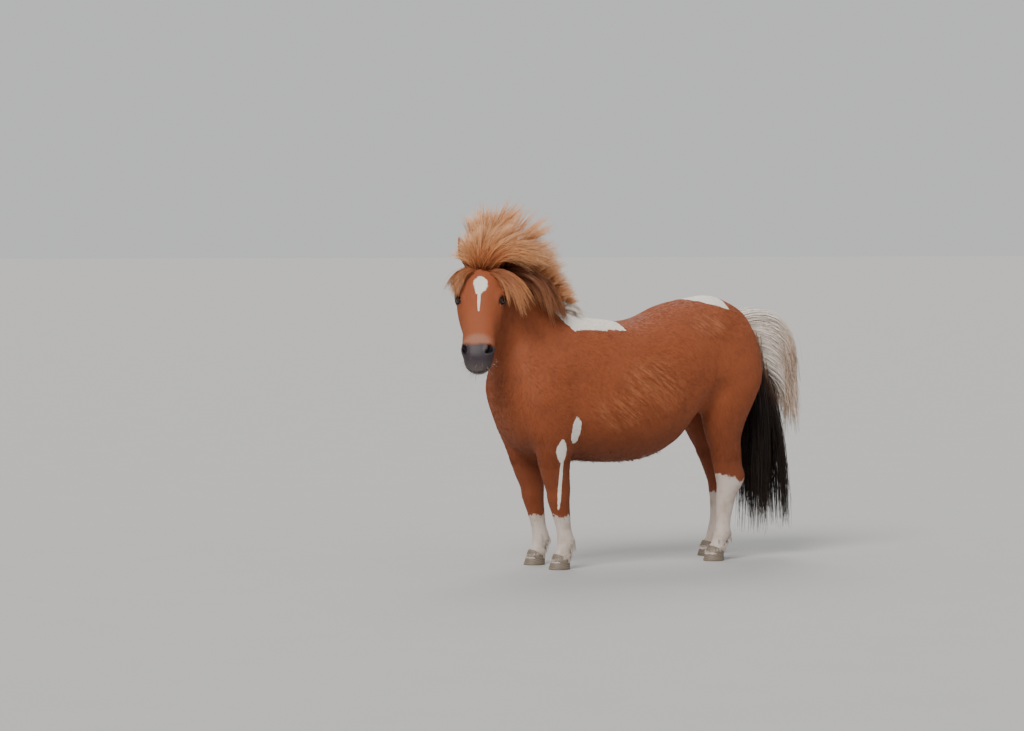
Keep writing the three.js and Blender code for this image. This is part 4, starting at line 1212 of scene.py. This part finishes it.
def lashGuides(side):
    centre, slit, above, out = eyeFrame(side)
    above = above * np.sign(above @ headUp)
    a = np.linspace(-lash["reach"], lash["reach"], lash["count"])
    high = eye["high"] * (1 - (a / eye["long"]) ** 2)
    stand = np.sqrt(eye["radius"] ** 2 - a * a - high * high) + lash["proud"]
    roots = centre + slit * a[:, None] + above * (high - lash["inset"])[:, None] + out * stand[:, None]
    first = unit(out * 0.9 + above * 0.35 + slit * (a / 40)[:, None])
    steps = np.linspace(0, 1, 5)[None, :, None]
    return roots[:, None] + first[:, None] * steps * lash["length"] - zWay * steps ** 2 * lash["droop"]


def makeFaceHair():
    whiskers = [(whiskerGuides(), fineHair, moods(whisker["count"]))]
    lashes = [(lashGuides(side), fineHair, moods(lash["count"])) for side in (1, -1)]
    hairPiece("whiskers", whiskers, hairs["whisker"], "coat")
    hairPiece("lashes", lashes, hairs["lash"], "coat")


fetlock = {
    "feather": 46, "height": (52, 118), "length": (18, 34), "ground": 14,
    "look": {**fineHair, "each": 8, "spread": 4, "gather": 0.4, "width": 1.1},
    "crown": 70, "crownHeight": 52.0, "crownDrop": 8, "crownLength": (12, 19),
    "crownLook": {**fineHair, "each": 6, "spread": 4, "gather": 0.3, "width": 1.3},
}


def legHair(form, height, turn, reach, lean, length, clear):
    shiftMid, riseMid, width = form.row(height)[:3]
    roots = form.point(height, shiftMid + np.cos(turn) * width, riseMid + np.sin(turn) * reach)
    away = unit(triple(np.cos(turn), -np.sin(turn), 0))
    return grow(roots, unit(away * 0.5 - zWay), unit(away * lean - zWay), length, 0, clear, 5, 2.0)


def makeFetlocks():
    batches = []
    for form in legs.values():
        count = fetlock["feather"]
        height = uniform(*fetlock["height"], count)
        turn = rng.normal(-math.pi / 2, 0.75, count)
        length = np.minimum(uniform(*fetlock["length"], count), height - fetlock["ground"])
        guides = legHair(form, height, turn, form.row(height)[4], 0.15, length, 2)
        batches.append((guides, fetlock["look"], moods(count)))
        count = fetlock["crown"]
        turn = np.linspace(0, 2 * math.pi, count, endpoint=False)
        height = np.full(count, fetlock["crownHeight"]) - np.sin(turn) * fetlock["crownDrop"]
        front, back = form.row(height)[3:5]
        reach = np.where(np.sin(turn) > 0, front, back)
        guides = legHair(form, height, turn, reach, 0.25, uniform(*fetlock["crownLength"], count), 1)
        batches.append((guides, fetlock["crownLook"], moods(count)))
    hairPiece("fetlock_hair", batches, hairs["feather"], "socks")


fringe = {
    "guides": 130, "along": (-300, 120), "scatter": 55, "length": (10, 20),
    "look": {**fineHair, "each": 8, "spread": 8, "gather": 0.3, "width": 1.5},
}


def makeFringe():
    count = fringe["guides"]
    y = uniform(*fringe["along"], count)
    roots = settleRoots(triple(rng.normal(0, fringe["scatter"], count), y, 400.0))
    first = unit(np.tile([0, 0.9, -0.5], (count, 1)))
    last = unit(np.tile([0, 0.8, -0.7], (count, 1)) + rng.normal(0, 0.15, (count, 3)))
    guides = grow(roots, first, last, uniform(*fringe["length"], count), 0, 1, 5, 2.0)
    hairPiece("belly_fringe", [(guides, fringe["look"], moods(count))], hairs["fringe"], "coat")


earHair = {
    "guides": 60, "along": (16, 74), "edge": 0.82, "length": (14, 26), "bend": 8,
    "look": {**fineHair, "each": 7, "spread": 3, "gather": 0.3, "width": 1.0},
}


def makeEarHair():
    batches = []
    for outer, _ in ears.values():
        count = earHair["guides"]
        at = uniform(*earHair["along"], count)
        edge = rng.choice([-1, 1], count)
        _, riseMid, width, up, _ = outer.row(at)
        roots = outer.point(at, edge * width * earHair["edge"], riseMid + up * 0.45)
        first = unit(outer.up * 0.7 - outer.side * (edge * 0.4)[:, None] + outer.along * 0.5)
        steps = np.linspace(0, 1, 5)[None, :, None]
        length = uniform(*earHair["length"], count)[:, None, None]
        guides = roots[:, None] + first[:, None] * steps * length + outer.along * steps ** 2 * earHair["bend"]
        batches.append((guides, earHair["look"], moods(count)))
    hairPiece("ear_hair", batches, hairs["fringe"], "coat")


# Eyes and hooves

def eyeMaterial():
    shader = Shader("eye_wet", Roughness=0.12, Coat_Weight=0.3, Coat_Roughness=0.02)
    shader.surface.inputs["Specular IOR Level"].default_value = 0.3
    place = shader.position()
    colour = (0.010, 0.006, 0.004)
    for side in (1, -1):
        centre, slit, above, out = eyeFrame(side)
        away = shader.vector("SUBTRACT", place, tuple(centre))
        a = shader.vector("DOT_PRODUCT", away, tuple(slit), output="Value")
        b = shader.vector("DOT_PRODUCT", away, tuple(above), output="Value")
        c = shader.vector("DOT_PRODUCT", away, tuple(out), output="Value").ramp(2, 5)
        iris = (1 - (a * a + b * b * 1.3).ramp(110, 150)) * c
        pupil = 1 - (a * a * 0.35 + b * b).ramp(12, 22)
        rays = shader.noise(shader.node("ShaderNodeCombineXYZ", None, [a, b, 0.0]), 0.5, 4.0)
        brown = shader.mix((0.030, 0.012, 0.005), (0.085, 0.036, 0.014), rays.ramp(0.35, 0.65))
        colour = shader.mix(colour, brown, iris)
        colour = shader.mix(colour, (0.002, 0.002, 0.003), iris * pupil)
    shader.feed("Base Color", colour)
    return shader.material


def makeEyes():
    material = eyeMaterial()
    rings, sides = 30, 48
    for side, name in ((1, "left"), (-1, "right")):
        centre, slit, above, out = eyeFrame(side)
        polar = np.linspace(0.02, math.pi - 0.02, rings)[:, None, None]
        turn = np.linspace(0, 2 * math.pi, sides, endpoint=False)[None, :, None]
        ball = out * np.cos(polar) + np.sin(polar) * (slit * np.cos(turn) + np.cross(out, slit)
                                                      * np.sin(turn))
        # the cornea stands a little proud
        bulge = eye["radius"] * (1 + 0.035 * np.exp(-(polar / 0.5) ** 2))
        points = (centre + ball * bulge).reshape(-1, 3)
        finishPiece(meshObject("eyeball_" + name, points, tubeFaces(rings, sides)), material, "eye",
                    "eye_" + name)


def hoofMaterial():
    shader = Shader("horn", Roughness=0.5)
    place = shader.position()
    x, y, z = shader.split(place)
    slope = z + y * 0.28 + shader.noise(place, 0.03, 2.0) * 5
    rings = shader.node("ShaderNodeTexNoise", {"noise_dimensions": "1D"},
                        {"W": slope * 0.28, "Scale": 1.0, "Detail": 3.0})
    fibres = shader.noise(shader.vector("MULTIPLY", place, (1, 1, 0.08)), 0.8, 3.0)
    colour = shader.mix((0.105, 0.082, 0.062), (0.26, 0.21, 0.16),
                        rings.ramp(0.35, 0.7) * 0.7 + fibres * 0.2)
    colour = shader.mix(colour, (0.19, 0.15, 0.10),
                        (1 - z.ramp(0, 14)) * shader.noise(place, 0.06, 4.0).ramp(0.4, 0.6) * 0.8)
    shader.feed("Base Color", colour)
    shader.feed("Roughness", 0.42 + fibres * 0.25)
    shader.feed("Normal", shader.bump(rings * 0.8 + fibres * 0.4, 1.2, 0.7))
    return shader.material


hoof = {
    "height": 46, "flare": 0.25, "lean": 0.2, "heel": 0.06, "rise": 8, "sides": 56,
    "rings": [(0, 0.05), (0, 0.93), (1.5, 0.99), (4, 1), (12, 1), (22, 1), (32, 1), (41, 0.995),
              (47, 0.97), (51, 0.9)],
}


def makeHooves():
    material = hoofMaterial()
    for name, form in legs.items():
        at = np.array([float(hoof["height"])])
        shiftMid, riseMid, width, front, back = (float(v[0]) for v in form.row(at))
        footAt = -riseMid
        sides = hoof["sides"]
        turn = np.linspace(0, 2 * math.pi, sides, endpoint=False)
        rows = []
        for height, share in hoof["rings"]:
            flare = (1 + hoof["flare"] * (1 - height / hoof["height"])) * share
            lean = (hoof["height"] - height) * hoof["lean"]
            reach = np.where(np.sin(turn) > 0, front * flare, back * (flare - hoof["heel"] * share))
            # the coronet slants down to the heel
            top = max(height - 12, 0) / 34 * np.sin(turn) * hoof["rise"]
            spots = triple(shiftMid + width * flare * np.cos(turn), footAt - lean - reach * np.sin(turn),
                           height + top)
            rows.append(spots)
        points = np.concatenate(rows)
        faces = tubeFaces(len(rows), sides)
        finishPiece(meshObject("horn_" + name, points, faces), material, "hoof", "hoof_" + name)


# Floor, light and camera

view = {"azimuth": 62.0, "elevation": 2.3, "distance": 12.0, "lens": 36 * 3096 / 1024,
        "target": (-211, -397, 765)}


stage = {
    "floor": ((0.42, 0.42, 0.415), (0.45, 0.45, 0.445)), "air": (0.90, 0.91, 0.92, 1), "airPower": 0.7,
    "lamps": [
        ("key", (4.2, -5.6, 7.0), 2.8, 28, (1.0, 0.95, 0.88)),
        ("rim", (-5.0, 2.5, 6.5), 1.1, 35, (1.0, 0.97, 0.93)),
    ],
}


def makeStage():
    bpy.ops.mesh.primitive_plane_add(size=400)
    floor = bpy.context.object
    floor.name = "floor"
    shader = Shader("pale_floor", Roughness=0.85)
    grain = shader.noise(shader.node("ShaderNodeTexCoord", output="Object"), 3.0, 3.0)
    shader.feed("Base Color", shader.mix(*stage["floor"], grain))
    floor.data.materials.append(shader.material)
    world = bpy.data.worlds.new("studio")
    world.use_nodes = True
    bpy.context.scene.world = world
    world.node_tree.nodes["Background"].inputs["Color"].default_value = stage["air"]
    world.node_tree.nodes["Background"].inputs["Strength"].default_value = stage["airPower"]
    for name, place, power, spread, colour in stage["lamps"]:
        lamp = bpy.data.lights.new(name, "SUN")
        lamp.energy, lamp.angle, lamp.color = power, math.radians(spread), colour
        holder = bpy.data.objects.new(name, lamp)
        holder.location = place
        holder.rotation_euler = (Vector((0, 0, 0.7)) - Vector(place)).to_track_quat("-Z", "Y").to_euler()
        bpy.context.scene.collection.objects.link(holder)


def makeCamera():
    target = Vector((np.array(view["target"]) + shift) * mm)
    a, e = math.radians(view["azimuth"]), math.radians(view["elevation"])
    back = Vector((math.sin(a) * math.cos(e), -math.cos(a) * math.cos(e), math.sin(e)))
    data = bpy.data.cameras.new("camera")
    data.lens, data.sensor_width = view["lens"], 36
    camera = bpy.data.objects.new("camera", data)
    camera.location = target + back * view["distance"]
    camera.rotation_euler = (-back).to_track_quat("-Z", "Y").to_euler()
    bpy.context.scene.collection.objects.link(camera)
    bpy.context.scene.camera = camera


makeCamera()
makeStage()
coatSkin = coatMaterial("coat_skin", False)
coatFur = coatMaterial("coat_fur", True)
hairs = {name: hairMaterial(name) for name in hairColours}
skin = makeSkin()
finishPiece(skin, coatSkin, "coat", "torso", "neck", "head", "ear_left", "ear_right",
            "foreleg_left", "foreleg_right", "hindleg_left", "hindleg_right")
makeEyes()
makeHooves()
makeCoat(skin, coatFur)
makeMane()
makeTuft()
makeForelock()
makeTail()
makeFaceHair()
makeFetlocks()
makeFringe()
makeEarHair()
